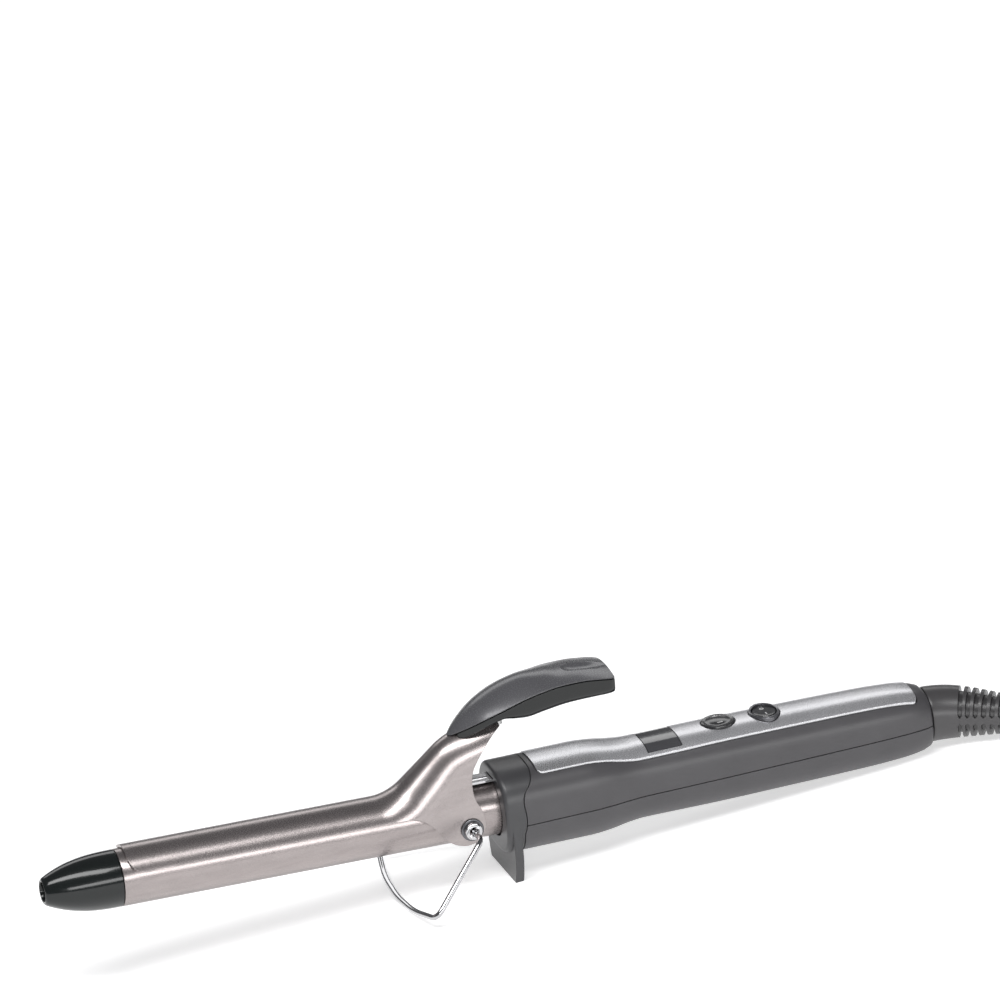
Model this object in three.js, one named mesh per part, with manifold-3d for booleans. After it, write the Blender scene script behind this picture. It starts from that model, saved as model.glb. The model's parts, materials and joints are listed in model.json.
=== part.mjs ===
// A spring-clip curling iron with a wire stand, a digital temperature display and a swivel cord boot.
// Millimetres. While it is drawn, X runs along the heated barrel from the nose to the tail, Y runs
// across it and Z is up. At the end the whole iron is pitched nose up, as it stands on a table.
import * as THREE from 'three';
import { mergeVertices } from 'three/addons/utils/BufferGeometryUtils.js';
import Module from 'manifold-3d';

const wasm = await Module();
wasm.setup();

// ---------------------------------------------------------------- driving dimensions
const GAP = 0.3; // clearance between neighbouring pieces
const REST_PITCH = THREE.MathUtils.degToRad(5.73); // nose-up angle of the barrel on the table
const REST_HEIGHT = -9; // table height under the barrel axis at the tail contact
const REST_STATION = 292; // where the handle's heel meets the table

const noseLength = 25;
const noseRimRadius = 4.3;
const noseBoreRadius = 3.2;
const noseFullness = 2.6; // exponent of the bullet's curve

const barrelRadius = 9.5;
const barrelWall = 1;
const barrelRear = 176;

const coreFront = noseLength + 13;
const coreRear = 128;
const heaterWidth = 12;
const heaterThickness = 2.6;
const thermistorLength = 6;

const pivotStation = 142.7; // hinge line of the clip and of the stand
const pivotHeight = -2.5;
const pivotShank = 2;
const pivotHeadRadius = 3;
const pivotHeadHeight = 1.4;
const pivotWasherRadius = 3.8;
const pivotWasherThickness = 0.5;
const pivotBlockLength = 12;

const clipFront = 27.6;
const clipSheet = 0.8;
const clipWrap = THREE.MathUtils.degToRad(66); // half angle that the tongue wraps round the barrel
const armCorner = 122.3; // where the arm's centre line leaves the barrel axis
const armSlope = THREE.MathUtils.degToRad(40);
const armBend = 25; // centre-line radius of the lower bend
const armSeatStation = 141; // start of the upper bend
const armSeatBend = 14;
const armSeatSlope = THREE.MathUtils.degToRad(14);
const armSeatLength = 12;
const armTaper = 0.82; // width of the arm at the lever, as a share of its width at the barrel

const leverFront = 139.6;
const leverRear = 195.2;
const leverHalfWidth = 10.5;
const leverScrewRadius = 1.2;

const springCoilRadius = 3.2;
const springWire = 0.6;
const springTurns = 4;
const springHeight = barrelRadius + 5.2;
const springStation = 141;
const springPinRadius = 1.8;
const plateThickness = 0.8;
const plateRear = 163;

const standWire = 1;
const standHalfWidth = 32.3;
const standReach = new THREE.Vector2(-20.4, -19.3); // corner of the stand, from the hinge line, in X and Z
const standBow = 5.2; // how far the foot bar bows beyond its corners
const standShoulder = 20.5; // where the wire turns down beside the hinge screw
const standStub = 8; // how far inside the hinge screw the wire ends

const collarFront = 153.3;
const collarEdge = 1.6; // rounding of the collar's front edge
const seamStation = 160;
const footFront = 155.2;
const footThickness = 2.8;
const footHalfWidth = 13.2;
const footShoulderHalfWidth = 15.4;
const footShoulderHeight = -17;

const handleRear = 302.4;
const handleWall = 1.8;
const handleTilt = Math.atan(0.0225); // the handle rises slightly towards the tail
const handleTiltStation = 165;
const handleAxisHeight = -0.35;
const handleSquareness = 2.7; // exponent of the rounded-square section
const handleBroadness = 1.05; // width over height
const partingFall = -2.5; // height of the shells' parting line at the collar, from the handle axis
const partingSlope = 0.0155;

const panelFront = 166.8;
const panelRear = 298;
const panelHalfWidth = 10.1;
const panelRearHalfWidth = 9;
const panelCorner = 4.5;
const panelThickness = 1.4;
const panelProud = 0.35;

const windowFront = 204.8;
const windowLength = 12;
const windowHalfWidth = 9.1;

const rockerStation = 232; // temperature rocker
const rockerRadius = 5.6;
const rockerProud = 1.4;
const powerStation = 248;
const powerHalfLength = 5.3;
const powerHalfWidth = 7.2;
const bezelWidth = 1.1;
const powerProud = 0.6;

const boardFront = 196;
const boardRear = 264;
const boardHalfWidth = 8.6;
const boardThickness = 1.6;
const boardHeight = 2.6; // underside of the board above the handle axis

const boardScrews = [199.5, 254];
const boardScrewShank = 0.9;
const screwStations = [184, 276];
const screwShank = 1.25;
const screwHead = 2.4;

const bootRadius = 9.2;
const bootEndRadius = 5.1;
const bootLength = 45;
const bootBore = 3.6;
const bootYaw = THREE.MathUtils.degToRad(-30); // total sideways bend
const bootDroop = THREE.MathUtils.degToRad(-4); // total downward bend
const bootNeckRadius = 5;
const bootFlangeRadius = 7.6;
const slotPitch = 2.75;
const slotWidth = 1.6;
const slotCount = 9;
const slotDepth = 1.7;
const slotStart = 12.5;

const leadRadius = 0.8;

// ---------------------------------------------------------------- materials
const materials = {
  titanium: { color: 0x9a8f8e, roughness: 0.38, metalness: 0.85 },
  nose: { color: 0x17191a, roughness: 0.15, metalness: 0 },
  handle: { color: 0x4d4b4f, roughness: 0.45, metalness: 0 },
  collar: { color: 0x48484c, roughness: 0.45, metalness: 0 },
  panel: { color: 0xc9c9ce, roughness: 0.3, metalness: 0.6 },
  window: { color: 0x77787c, roughness: 0.1, metalness: 0 },
  button: { color: 0x515155, roughness: 0.35, metalness: 0 },
  cover: { color: 0x68686c, roughness: 0.32, metalness: 0.1 },
  gloss: { color: 0x1c1e1f, roughness: 0.12, metalness: 0 },
  chrome: { color: 0xd6d6d8, roughness: 0.08, metalness: 1 },
  steel: { color: 0xa8a8a8, roughness: 0.3, metalness: 1 },
  aluminium: { color: 0xb5b7b9, roughness: 0.4, metalness: 0.9 },
  ceramic: { color: 0xe8e4da, roughness: 0.6, metalness: 0 },
  phenolic: { color: 0x5a3a26, roughness: 0.6, metalness: 0 },
  rubber: { color: 0x3c3a3c, roughness: 0.55, metalness: 0 },
  board: { color: 0x1f5a35, roughness: 0.5, metalness: 0 },
  component: { color: 0x222222, roughness: 0.5, metalness: 0 },
  lcd: { color: 0x8c9488, roughness: 0.2, metalness: 0 },
  copper: { color: 0xb87350, roughness: 0.3, metalness: 0.9 },
  wireRed: { color: 0x9a1f1f, roughness: 0.5, metalness: 0 },
  wireWhite: { color: 0xe6e6e0, roughness: 0.5, metalness: 0 },
};

// ---------------------------------------------------------------- shape tools
const X = new THREE.Vector3(1, 0, 0);
const Y = new THREE.Vector3(0, 1, 0);
const Z = new THREE.Vector3(0, 0, 1);

/** A position-only copy with shared vertices merged and its faces pointing out. */
function tidy(geometry) {
  const bare = geometry.clone();
  bare.deleteAttribute('normal');
  bare.deleteAttribute('uv');
  const merged = mergeVertices(bare, 1e-4);
  const p = merged.attributes.position;
  const index = Array.from(merged.index.array);
  const kept = [];
  let volume = 0;
  const [a, b, c] = [new THREE.Vector3(), new THREE.Vector3(), new THREE.Vector3()];
  for (let i = 0; i < index.length; i += 3) {
    const [i0, i1, i2] = [index[i], index[i + 1], index[i + 2]];
    if (i0 === i1 || i1 === i2 || i2 === i0) continue;
    a.fromBufferAttribute(p, i0);
    b.fromBufferAttribute(p, i1);
    c.fromBufferAttribute(p, i2);
    volume += a.dot(b.cross(c));
    kept.push(i0, i1, i2);
  }
  if (volume < 0) {
    for (let i = 0; i < kept.length; i += 3) [kept[i], kept[i + 1]] = [kept[i + 1], kept[i]];
  }
  merged.setIndex(kept);
  return merged;
}

function solid(geometry) {
  const g = tidy(geometry);
  const mesh = new wasm.Mesh({
    numProp: 3,
    vertProperties: new Float32Array(g.attributes.position.array),
    triVerts: new Uint32Array(g.index.array),
  });
  return new wasm.Manifold(mesh);
}

function geometryOf(manifold) {
  const mesh = manifold.asOriginal().simplify(0.012).getMesh();
  const g = new THREE.BufferGeometry();
  g.setAttribute('position', new THREE.BufferAttribute(new Float32Array(mesh.vertProperties), 3));
  g.setIndex(new THREE.BufferAttribute(new Uint32Array(mesh.triVerts), 1));
  return g;
}

function unite(first, ...others) {
  return others.reduce((sum, other) => sum.add(solid(other)), solid(first));
}

function cut(body, ...cutters) {
  return cutters.reduce((rest, cutter) => rest.subtract(solid(cutter)), body);
}

const shapeOf = (points) => new THREE.Shape(points.map(([a, b]) => new THREE.Vector2(a, b)));

function extrude(shape, from, to, basis, segments = 10) {
  const options = { depth: to - from, bevelEnabled: false, curveSegments: segments };
  const g = new THREE.ExtrudeGeometry(shape, options);
  g.translate(0, 0, from);
  return g.applyMatrix4(basis);
}

/** A shape drawn in Y and Z, extruded along X. */
const extrudeX = (shape, x0, x1) => extrude(shape, x0, x1, new THREE.Matrix4().makeBasis(Y, Z, X));
/** A shape drawn in X and Y, extruded along Z. */
const extrudeZ = (shape, z0, z1) => extrude(shape, z0, z1, new THREE.Matrix4());
/** A shape drawn in X and Z, extruded along Y. */
const extrudeY = (shape, y0, y1) =>
  extrude(shape, -y1, -y0, new THREE.Matrix4().makeBasis(X, Z, Y.clone().negate()));

function box(x0, x1, y0, y1, z0, z1) {
  const g = new THREE.BoxGeometry(x1 - x0, y1 - y0, z1 - z0);
  return g.translate((x0 + x1) / 2, (y0 + y1) / 2, (z0 + z1) / 2);
}

/** A solid of revolution about X, from [station, radius] points that start and end on the axis. */
function latheX(points, segments = 32) {
  const profile = points.map(([x, r]) => new THREE.Vector2(r, x));
  return new THREE.LatheGeometry(profile, segments).rotateZ(-Math.PI / 2);
}

/** The same about X, from a profile that closes on itself. */
const ringX = (points, segments = 32) => latheX([...points, points[0]], segments);

/** A solid of revolution about the line along Y through [x, z]. */
function latheY(points, x, z, segments = 16) {
  const profile = points.map(([y, r]) => new THREE.Vector2(r, y));
  return new THREE.LatheGeometry(profile, segments).translate(x, 0, z);
}

const rodY = (y0, y1, r, x, z, n = 16) => latheY([[y0, 0], [y0, r], [y1, r], [y1, 0]], x, z, n);

/** A round rod along Z. */
function rodZ(x, y, z0, z1, r, segments = 16) {
  const g = new THREE.CylinderGeometry(r, r, z1 - z0, segments).rotateX(Math.PI / 2);
  return g.translate(x, y, (z0 + z1) / 2);
}

/** A block of nu x nv x nw cells, each corner placed by place(u, v, w) with u, v, w from 0 to 1. */
function loft(nu, nv, nw, place) {
  const g = new THREE.BoxGeometry(1, 1, 1, nu, nv, nw);
  const p = g.attributes.position;
  for (let i = 0; i < p.count; i += 1) {
    const at = place(p.getX(i) + 0.5, p.getY(i) + 0.5, p.getZ(i) + 0.5);
    p.setXYZ(i, at.x, at.y, at.z);
  }
  return g;
}

/** A closed round loft over a list of stations; place(k, angle, share) gives each point. */
function roundLoft(count, segments, place) {
  const g = new THREE.CylinderGeometry(1, 1, 1, segments, count - 1);
  const p = g.attributes.position;
  for (let i = 0; i < p.count; i += 1) {
    const station = Math.round((p.getY(i) + 0.5) * (count - 1));
    const share = Math.min(1, Math.round(Math.hypot(p.getX(i), p.getZ(i))));
    const at = place(station, Math.atan2(p.getZ(i), p.getX(i)), share);
    p.setXYZ(i, at.x, at.y, at.z);
  }
  return g;
}

/** A round wire with one ring of the section at each of its points. */
function wireAlong(points, radius, sides = 8) {
  const count = points.length;
  const tangents = points.map((p, i) => {
    const before = points[Math.max(0, i - 1)];
    const after = points[Math.min(count - 1, i + 1)];
    return after.clone().sub(before).normalize();
  });
  const normals = [new THREE.Vector3(0.31, 0.23, 0.92)];
  tangents.forEach((t, i) => {
    const last = normals[Math.max(0, i - 1)].clone();
    normals[i] = last.addScaledVector(t, -last.dot(t)).normalize();
  });
  return roundLoft(count, sides, (k, angle, share) => {
    const across = new THREE.Vector3().crossVectors(tangents[k], normals[k]);
    const r = radius * share;
    const at = points[k].clone().addScaledVector(normals[k], r * Math.cos(angle));
    return at.addScaledVector(across, r * Math.sin(angle));
  });
}

/** A smooth wire through points, in equal steps. */
function wire(points, radius, steps, sides = 8) {
  const path = new THREE.CatmullRomCurve3(points, false, 'catmullrom', 0.5);
  return wireAlong(path.getSpacedPoints(steps), radius, sides);
}

/** Points along straight runs whose corners are rounded; each corner is [place, reach of its bend]. */
function bentRun(corners, steps = 5) {
  const points = [];
  corners.forEach(([at, reach], i) => {
    if (!reach) {
      points.push(at.clone());
      return;
    }
    const before = at.clone().add(corners[i - 1][0].clone().sub(at).setLength(reach));
    const after = at.clone().add(corners[i + 1][0].clone().sub(at).setLength(reach));
    points.push(...new THREE.QuadraticBezierCurve3(before, at, after).getPoints(steps));
  });
  return points;
}

const vec = (x, y, z) => new THREE.Vector3(x, y, z);
const smooth = (t) => t * t * (3 - 2 * t);
const clamp01 = (t) => Math.min(1, Math.max(0, t));

/** A value between listed [station, value] points, eased from each one to the next. */
function profileAt(points, x) {
  if (x <= points[0][0]) return points[0][1];
  for (let i = 1; i < points.length; i += 1) {
    const [x0, v0] = points[i - 1];
    const [x1, v1] = points[i];
    if (x <= x1) return v0 + ((v1 - v0) * (x - x0)) / (x1 - x0);
  }
  return points[points.length - 1][1];
}

// ---------------------------------------------------------------- the iron
const iron = new THREE.Group();

function add(name, body, material) {
  const geometry = body instanceof THREE.BufferGeometry ? tidy(body) : geometryOf(body);
  geometry.computeVertexNormals();
  const mesh = new THREE.Mesh(geometry, new THREE.MeshStandardMaterial(materials[material]));
  mesh.name = name;
  iron.add(mesh);
}

// ---- nose cap: a bullet with an open bore and a spigot that plugs the barrel
const barrelInside = barrelRadius - barrelWall;
const spigotRadius = barrelInside - GAP;
const spigotRear = noseLength + 10;
const spigotBore = 6.4;

function noseCap() {
  const outer = [];
  const steps = 12;
  for (let i = 0; i <= steps; i += 1) {
    const t = 1 - i / steps;
    const x = noseLength * (1 - t);
    outer.push([x, noseRimRadius + (barrelRadius - noseRimRadius) * (1 - t ** noseFullness)]);
  }
  const inner = [
    [noseLength, spigotRadius],
    [spigotRear, spigotRadius],
    [spigotRear, spigotBore],
    [noseLength - 6, spigotBore],
    [noseLength - 9, noseBoreRadius],
    [0, noseBoreRadius],
  ];
  return ringX([...outer, ...inner], 32);
}

// ---- barrel and what it holds
const barrelFront = noseLength + GAP;
const pivotHole = pivotShank + GAP;

function barrelTube() {
  const tube = ringX(
    [
      [barrelFront, barrelInside],
      [barrelFront, barrelRadius],
      [barrelRear, barrelRadius],
      [barrelRear, barrelInside],
    ],
    48,
  );
  return cut(solid(tube), rodY(-12, 12, pivotHole, pivotStation, pivotHeight));
}

/** Half of the aluminium core: a D that the heater is clamped against. */
function coreHalf(side) {
  const flat = heaterThickness / 2 + GAP;
  const r = spigotRadius;
  const start = Math.asin(flat / r);
  const shape = new THREE.Shape();
  shape.absarc(0, 0, r, start, Math.PI - start, false);
  shape.closePath();
  const half = extrudeX(shape, coreFront, coreRear);
  const groove = extrudeX(
    shapeOf([[-1.4, r - 3], [1.4, r - 3], [1.4, r + 1], [-1.4, r + 1]]),
    coreFront - 1,
    coreRear + 1,
  );
  const grooved = cut(solid(half), groove);
  return side > 0 ? grooved : grooved.rotate([180, 0, 0]);
}

function pivotBlock() {
  const half = pivotBlockLength / 2;
  const round = latheX([
    [pivotStation - half, 0],
    [pivotStation - half, spigotRadius],
    [pivotStation + half, spigotRadius],
    [pivotStation + half, 0],
  ]);
  const waist = box(pivotStation - half - 1, pivotStation + half + 1, -10, 10, -6, 4);
  const block = solid(round).intersect(solid(waist));
  return cut(block, rodY(-12, 12, pivotHole, pivotStation, pivotHeight));
}

// ---- hinge screws: hollow, so that the stand's wire ends turn inside them
const earInside = barrelRadius + GAP;
const earOutside = earInside + clipSheet;
const washerInside = earOutside + GAP;
const washerOutside = washerInside + pivotWasherThickness;
const headInside = washerOutside + GAP;
const headOutside = headInside + pivotHeadHeight;
const screwInnerEnd = 4.5;
const wireBore = standWire + GAP;

function pivotScrew(side) {
  const outline = [
    [screwInnerEnd, wireBore],
    [screwInnerEnd, pivotShank],
    [headInside, pivotShank],
    [headInside, pivotHeadRadius],
    [headOutside - 0.5, pivotHeadRadius],
    [headOutside, pivotHeadRadius - 0.7],
    [headOutside, wireBore + 0.5],
    [headOutside - 0.7, wireBore],
    [screwInnerEnd, wireBore],
  ];
  const points = outline.map(([y, r]) => [side * y, r]);
  const body = solid(latheY(points, pivotStation, pivotHeight, 20));
  const slots = [0, 1].map((k) => {
    const arm = box(-2.3, 2.3, -0.35, 0.35, -0.35, 0.35).rotateY((k * Math.PI) / 2 + Math.PI / 4);
    return arm.translate(pivotStation, side * (headOutside - 0.1), pivotHeight);
  });
  return cut(body, ...slots);
}

function pivotWasher(side) {
  const r = pivotShank + GAP;
  const points = [
    [washerInside, r],
    [washerInside, pivotWasherRadius],
    [washerOutside, pivotWasherRadius - 0.2],
    [washerOutside, r],
    [washerInside, r],
  ].map(([y, radius]) => [side * y, radius]);
  return latheY(points, pivotStation, pivotHeight, 18);
}

// ---- clip: one pressed sheet, a tongue over the barrel, two hinge ears and a rising arm
const armDirection = new THREE.Vector2(Math.cos(armSlope), Math.sin(armSlope));
const bendTangent = armBend * Math.tan(armSlope / 2);

/** Stations of the clip's centre line: place in X and Z, slope, and width share. */
function clipStations() {
  const stations = [{ x: clipFront, z: 0, slope: 0 }];
  const bendSteps = 8;
  const start = armCorner - bendTangent;
  for (let i = 0; i <= bendSteps; i += 1) {
    const slope = (armSlope * i) / bendSteps;
    stations.push({
      x: start + armBend * Math.sin(slope),
      z: armBend * (1 - Math.cos(slope)),
      slope,
    });
  }
  const seatZ = (armSeatStation - armCorner) * Math.tan(armSlope);
  const seatSteps = 6;
  const cx = armSeatStation + armSeatBend * Math.sin(armSlope);
  const cz = seatZ - armSeatBend * Math.cos(armSlope);
  for (let i = 0; i <= seatSteps; i += 1) {
    const slope = armSlope + ((armSeatSlope - armSlope) * i) / seatSteps;
    stations.push({ x: cx - armSeatBend * Math.sin(slope), z: cz + armSeatBend * Math.cos(slope), slope });
  }
  const last = stations[stations.length - 1];
  stations.push({
    x: last.x + armSeatLength * Math.cos(armSeatSlope),
    z: last.z + armSeatLength * Math.sin(armSeatSlope),
    slope: armSeatSlope,
  });
  for (const s of stations) {
    const along = clamp01((s.x - armCorner) / (armSeatStation - armCorner));
    s.width = 1 + (armTaper - 1) * smooth(along);
  }
  return stations;
}

const stationsOfClip = clipStations();

/** The clip's channel between two radii; inner 0 fills it. */
function clipChannel(inner, outer, across = 16) {
  const count = stationsOfClip.length - 1;
  return loft(count, across, 1, (u, v, w) => {
    const s = stationsOfClip[Math.round(u * count)];
    const angle = (v - 0.5) * Math.PI;
    const radius = inner + (outer - inner) * w;
    const side = radius * Math.sin(angle) * s.width;
    const up = radius * Math.cos(angle);
    return vec(s.x - up * Math.sin(s.slope), side, s.z + up * Math.cos(s.slope));
  });
}

/** Side outline of the clip, in X and Z: everything of the sheet that is kept. */
function clipOutline() {
  const tongueEdge = earInside * Math.cos(clipWrap);
  const px = pivotStation;
  const pz = pivotHeight;
  const earRadius = 5.4;
  const shape = new THREE.Shape();
  shape.moveTo(clipFront - 1, 30);
  shape.lineTo(clipFront - 1, tongueEdge + 4);
  shape.lineTo(clipFront + 0.3, tongueEdge + 4);
  shape.quadraticCurveTo(clipFront + 0.8, tongueEdge + 0.5, clipFront + 6, tongueEdge);
  shape.lineTo(armCorner + 0.5, tongueEdge + 0.6);
  shape.quadraticCurveTo(armCorner + 6.5, tongueEdge - 0.6, armCorner + 9.5, pz + 0.2);
  shape.quadraticCurveTo(px - earRadius - 2, pz - earRadius + 0.6, px - 2.2, pz - earRadius);
  shape.quadraticCurveTo(px + 2.2, pz - earRadius, px + 4.2, pz - 1.6);
  shape.quadraticCurveTo(px + 6.2, pz + 2.4, px + 2.4, pz + 9);
  shape.quadraticCurveTo(px + 0.6, pz + 14, px + 2.7, pz + 20);
  shape.quadraticCurveTo(px + 7, pz + 27.5, px + 13.6, pz + 32);
  shape.lineTo(px + 22, pz + 33.5);
  shape.lineTo(px + 22, pz + 60);
  shape.lineTo(clipFront + 60, 60);
  shape.closePath();
  return shape;
}

/** A side plate below the channel's rim: upright beside the barrel, leaning in as the arm narrows. */
function clipCheek(side) {
  const front = armCorner - bendTangent;
  const rear = pivotStation + 6;
  const centre = stationsOfClip.map((s) => [s.x, s.z]);
  return loft(12, 3, 1, (u, v, w) => {
    const x = front + (rear - front) * u;
    const top = profileAt(centre, x);
    const upright = Math.min(top - 1, pivotHeight + 6);
    const rows = [pivotHeight - 10, upright, (upright + top) / 2, top];
    const row = Math.round(v * 3);
    const lean = (armTaper - 1) * smooth(clamp01((x - armCorner) / (armSeatStation - armCorner)));
    const width = 1 + (lean * Math.max(0, row - 1)) / 2;
    const sheet = w > 0.5 ? earOutside : earInside;
    return vec(x, side * sheet * width, rows[row]);
  });
}

function clipSpoon() {
  const channel = unite(clipChannel(earInside, earOutside), clipCheek(1), clipCheek(-1));
  const kept = channel.intersect(solid(extrudeY(clipOutline(), -12, 12)));
  const holes = [
    rodY(-12, 12, pivotShank + GAP, pivotStation, pivotHeight),
    ...leverScrews.map((x) => rodZ(x, 0, 20, 45, leverScrewRadius + GAP, 12)),
  ];
  return cut(kept, ...holes);
}

// ---- lever: a gloss lower shell that straddles the arm, and a satin cover
const leverEdge = [
  [leverFront, 27],
  [142, 28.7],
  [146, 31.1],
  [150, 33.2],
  [156, 35.8],
  [163, 38.2],
  [170, 39.9],
  [177, 41],
  [184, 41.2],
  [190, 40.7],
  [leverRear, 40],
];
const leverBottom = [
  [leverFront, 23.8],
  [143, 25.7],
  [147, 28],
  [153, 31],
  [157, 32.4],
  [161, 31.7],
  [165, 31.3],
  [171, 32.3],
  [180, 33.6],
  [leverRear, 34.2],
];
const leverDome = [
  [leverFront, 0.5],
  [142, 1.4],
  [146, 2.8],
  [151, 3.9],
  [158, 4.3],
  [165, 4],
  [173, 2.6],
  [180, 1.5],
  [leverRear, 1],
];
const leverLength = leverRear - leverFront;
const leverScrews = [151.5, 156.5];

/** Height of the crown of the arm's sheet, on its inner or outer face, above a station of its flat seat. */
function armCrown(x, radius) {
  const last = stationsOfClip[stationsOfClip.length - 1];
  const rise = (x - last.x) * Math.tan(armSeatSlope);
  return last.z + rise + radius / Math.cos(armSeatSlope);
}

function leverWidth(x) {
  const nose = clamp01((x - leverFront) / 20);
  const tail = clamp01((leverRear - x) / 4);
  const rounding = 0.9 + 0.1 * Math.sqrt(1 - (1 - tail) ** 2);
  return leverHalfWidth * Math.max(0.03, (1 - (1 - nose) ** 1.9) ** 0.72) * rounding;
}

function leverSection(bottomOf, topOf) {
  return loft(22, 8, 1, (u, v, w) => {
    const x = leverFront + leverLength * u ** 1.25;
    const side = Math.sin((v - 0.5) * Math.PI);
    return vec(x, leverWidth(x) * side, w < 0.5 ? bottomOf(x) : topOf(x, side));
  });
}

const edgeAt = (x) => profileAt(leverEdge, x);
const bottomAt = (x) => profileAt(leverBottom, x);

function leverCover() {
  const dome = (x, side) => edgeAt(x) + 0.5 + profileAt(leverDome, x) * (1 - side ** 2);
  const cover = leverSection((x) => edgeAt(x) + GAP / 2, dome);
  const scoop = latheX([[178, 0], [178.6, 5], [184, 7.4], [leverRear + 6, 8.4], [leverRear + 6, 0]], 24);
  const arm = clipChannel(0, earOutside + GAP);
  return cut(solid(cover), arm, scoop.translate(0, 0, edgeAt(leverRear) + 8.9));
}

function leverShell() {
  const block = solid(leverSection(bottomAt, (x) => edgeAt(x) - GAP / 2));
  const pocket = box(166, leverRear - 4.5, -6.5, 6.5, 35, 45);
  const pilots = leverScrews.map((x) => rodZ(x, 0, 25, 37, leverScrewRadius + GAP, 12));
  const front = box(leverFront - 1, 143, -11, 11, 20, 40);
  return cut(block, clipChannel(0, earOutside + GAP), pocket, front, ...pilots);
}

function leverScrew(x) {
  const seat = armCrown(x, earInside) - 1.5;
  const head = rodZ(x, 0, seat - 1.2, seat, 2.2, 12);
  const shank = rodZ(x, 0, seat - 0.5, edgeAt(x) - 0.8, leverScrewRadius, 12);
  return unite(head, shank);
}

// ---- return spring on its seat plate
const plateBottom = barrelRadius + GAP;
const plateTop = plateBottom + plateThickness;
const plateFront = springStation - 9;
const plateHalfWidth = 3.4;
const earHalfWidth = 4.4;

function springPlate() {
  const strip = box(plateFront, plateRear, -plateHalfWidth, plateHalfWidth, plateBottom, plateTop);
  const saddleHalf = earHalfWidth + 0.8;
  const [s0, s1] = [springStation - 3.4, springStation + 3.4];
  const saddle = box(s0, s1, -saddleHalf, saddleHalf, plateBottom, plateTop);
  const ears = [-1, 1].map((side) => {
    const y0 = Math.min(side * earHalfWidth, side * (earHalfWidth + 0.8));
    const shape = new THREE.Shape();
    shape.moveTo(springStation - 3.2, plateBottom + 0.2);
    shape.lineTo(springStation + 3.2, plateBottom + 0.2);
    shape.lineTo(springStation + 3.2, springHeight);
    shape.absarc(springStation, springHeight, 3.2, 0, Math.PI, false);
    shape.closePath();
    return extrudeY(shape, y0, y0 + 0.8);
  });
  const pinHole = rodY(-8, 8, springPinRadius - 0.6 + GAP, springStation, springHeight);
  return cut(unite(strip, saddle, ...ears), pinHole);
}

function springPin() {
  const reach = earHalfWidth + 0.8 + GAP;
  const thin = springPinRadius - 0.6;
  const outline = [
    [-reach - 0.8, 0],
    [-reach - 0.8, springPinRadius + 0.4],
    [-reach, springPinRadius + 0.4],
    [-reach, thin],
    [-earHalfWidth + GAP, thin],
    [-earHalfWidth + GAP, springPinRadius],
    [earHalfWidth - GAP, springPinRadius],
    [earHalfWidth - GAP, thin],
    [reach + 0.6, thin],
    [reach + 0.6, 0],
  ];
  return latheY(outline, springStation, springHeight, 16);
}

/** A torsion spring: one leg on the plate, four turns, and one leg up under the arm. */
function clipSpring() {
  const pitch = 2 * springWire + GAP;
  const width = pitch * springTurns;
  const points = [];
  const legZ = springHeight - springCoilRadius;
  for (const x of [plateRear - 12, plateRear - 15, springStation + 4]) {
    points.push(vec(x, -width / 2, legZ));
  }
  const perTurn = 12;
  const sweep = springTurns * perTurn + perTurn / 4;
  for (let i = 0; i <= sweep; i += 1) {
    const turn = i / perTurn;
    const angle = -Math.PI / 2 - turn * 2 * Math.PI;
    points.push(
      vec(
        springStation + springCoilRadius * Math.cos(angle),
        -width / 2 + pitch * turn,
        springHeight + springCoilRadius * Math.sin(angle),
      ),
    );
  }
  const y = -width / 2 + (pitch * sweep) / perTurn;
  for (const rise of [3, 6, 9]) points.push(vec(springStation - springCoilRadius, y, springHeight + rise));
  return wire(points, springWire, 84, 5);
}

// ---- wire stand: turned-in ends, splayed legs and a bowed foot bar
function standWireShape() {
  const place = (along, y) => vec(pivotStation + along.x, y, pivotHeight + along.y);
  const bow = standReach.clone().setLength(standReach.length() + standBow);
  const flank = standReach.clone().setLength(standReach.length() + standBow * 0.8);
  const hinge = new THREE.Vector2(0, 0);
  const sides = [-1, 1].map((side) => [
    [place(hinge, side * standStub), 0],
    [place(hinge, side * standShoulder), 3],
    [place(standReach, side * standHalfWidth), 4],
    [place(flank, side * standHalfWidth * 0.5), 6],
  ]);
  const [near, far] = sides;
  return wireAlong(bentRun([...near, [place(bow, 0), 5], ...far.reverse()]), standWire, 10);
}

// ---- handle body: one outline that the collar, both shells and the top panel share
const handleHeights = [
  [150, 14.5],
  [183, 14.5],
  [190, 14],
  [196, 13.1],
  [202, 12.6],
  [225, 12.7],
  [256, 12.4],
  [281, 12],
  [292, 11.5],
  [299, 10.6],
  [handleRear, 9.4],
];
const handleStations = handleHeights.map(([x]) => x);

/** The handle's outer solid, offset outwards by grow and cut to a range of stations. */
function handleSolid(grow = 0, front = 150, rear = handleRear, segments = 32) {
  const inside = handleStations.filter((x) => x > front + 0.5 && x < rear - 0.5);
  const stations = [front, ...inside, rear];
  const body = roundLoft(stations.length, segments, (k, angle, share) => {
    const x = stations[k];
    const height = profileAt(handleHeights, x) + grow;
    const width = profileAt(handleHeights, x) * handleBroadness + grow;
    const e = 2 / handleSquareness;
    const c = Math.cos(angle);
    const s = Math.sin(angle);
    const y = share * width * Math.sign(c) * Math.abs(c) ** e;
    const z = share * height * Math.sign(s) * Math.abs(s) ** e;
    return vec(x, y, z);
  });
  return inHandle(body);
}

/** Handle pieces are drawn straight and then tilted with the handle's axis. */
function inHandle(geometry) {
  return geometry
    .translate(-handleTiltStation, 0, 0)
    .rotateY(-handleTilt)
    .translate(handleTiltStation, 0, handleAxisHeight);
}

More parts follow.
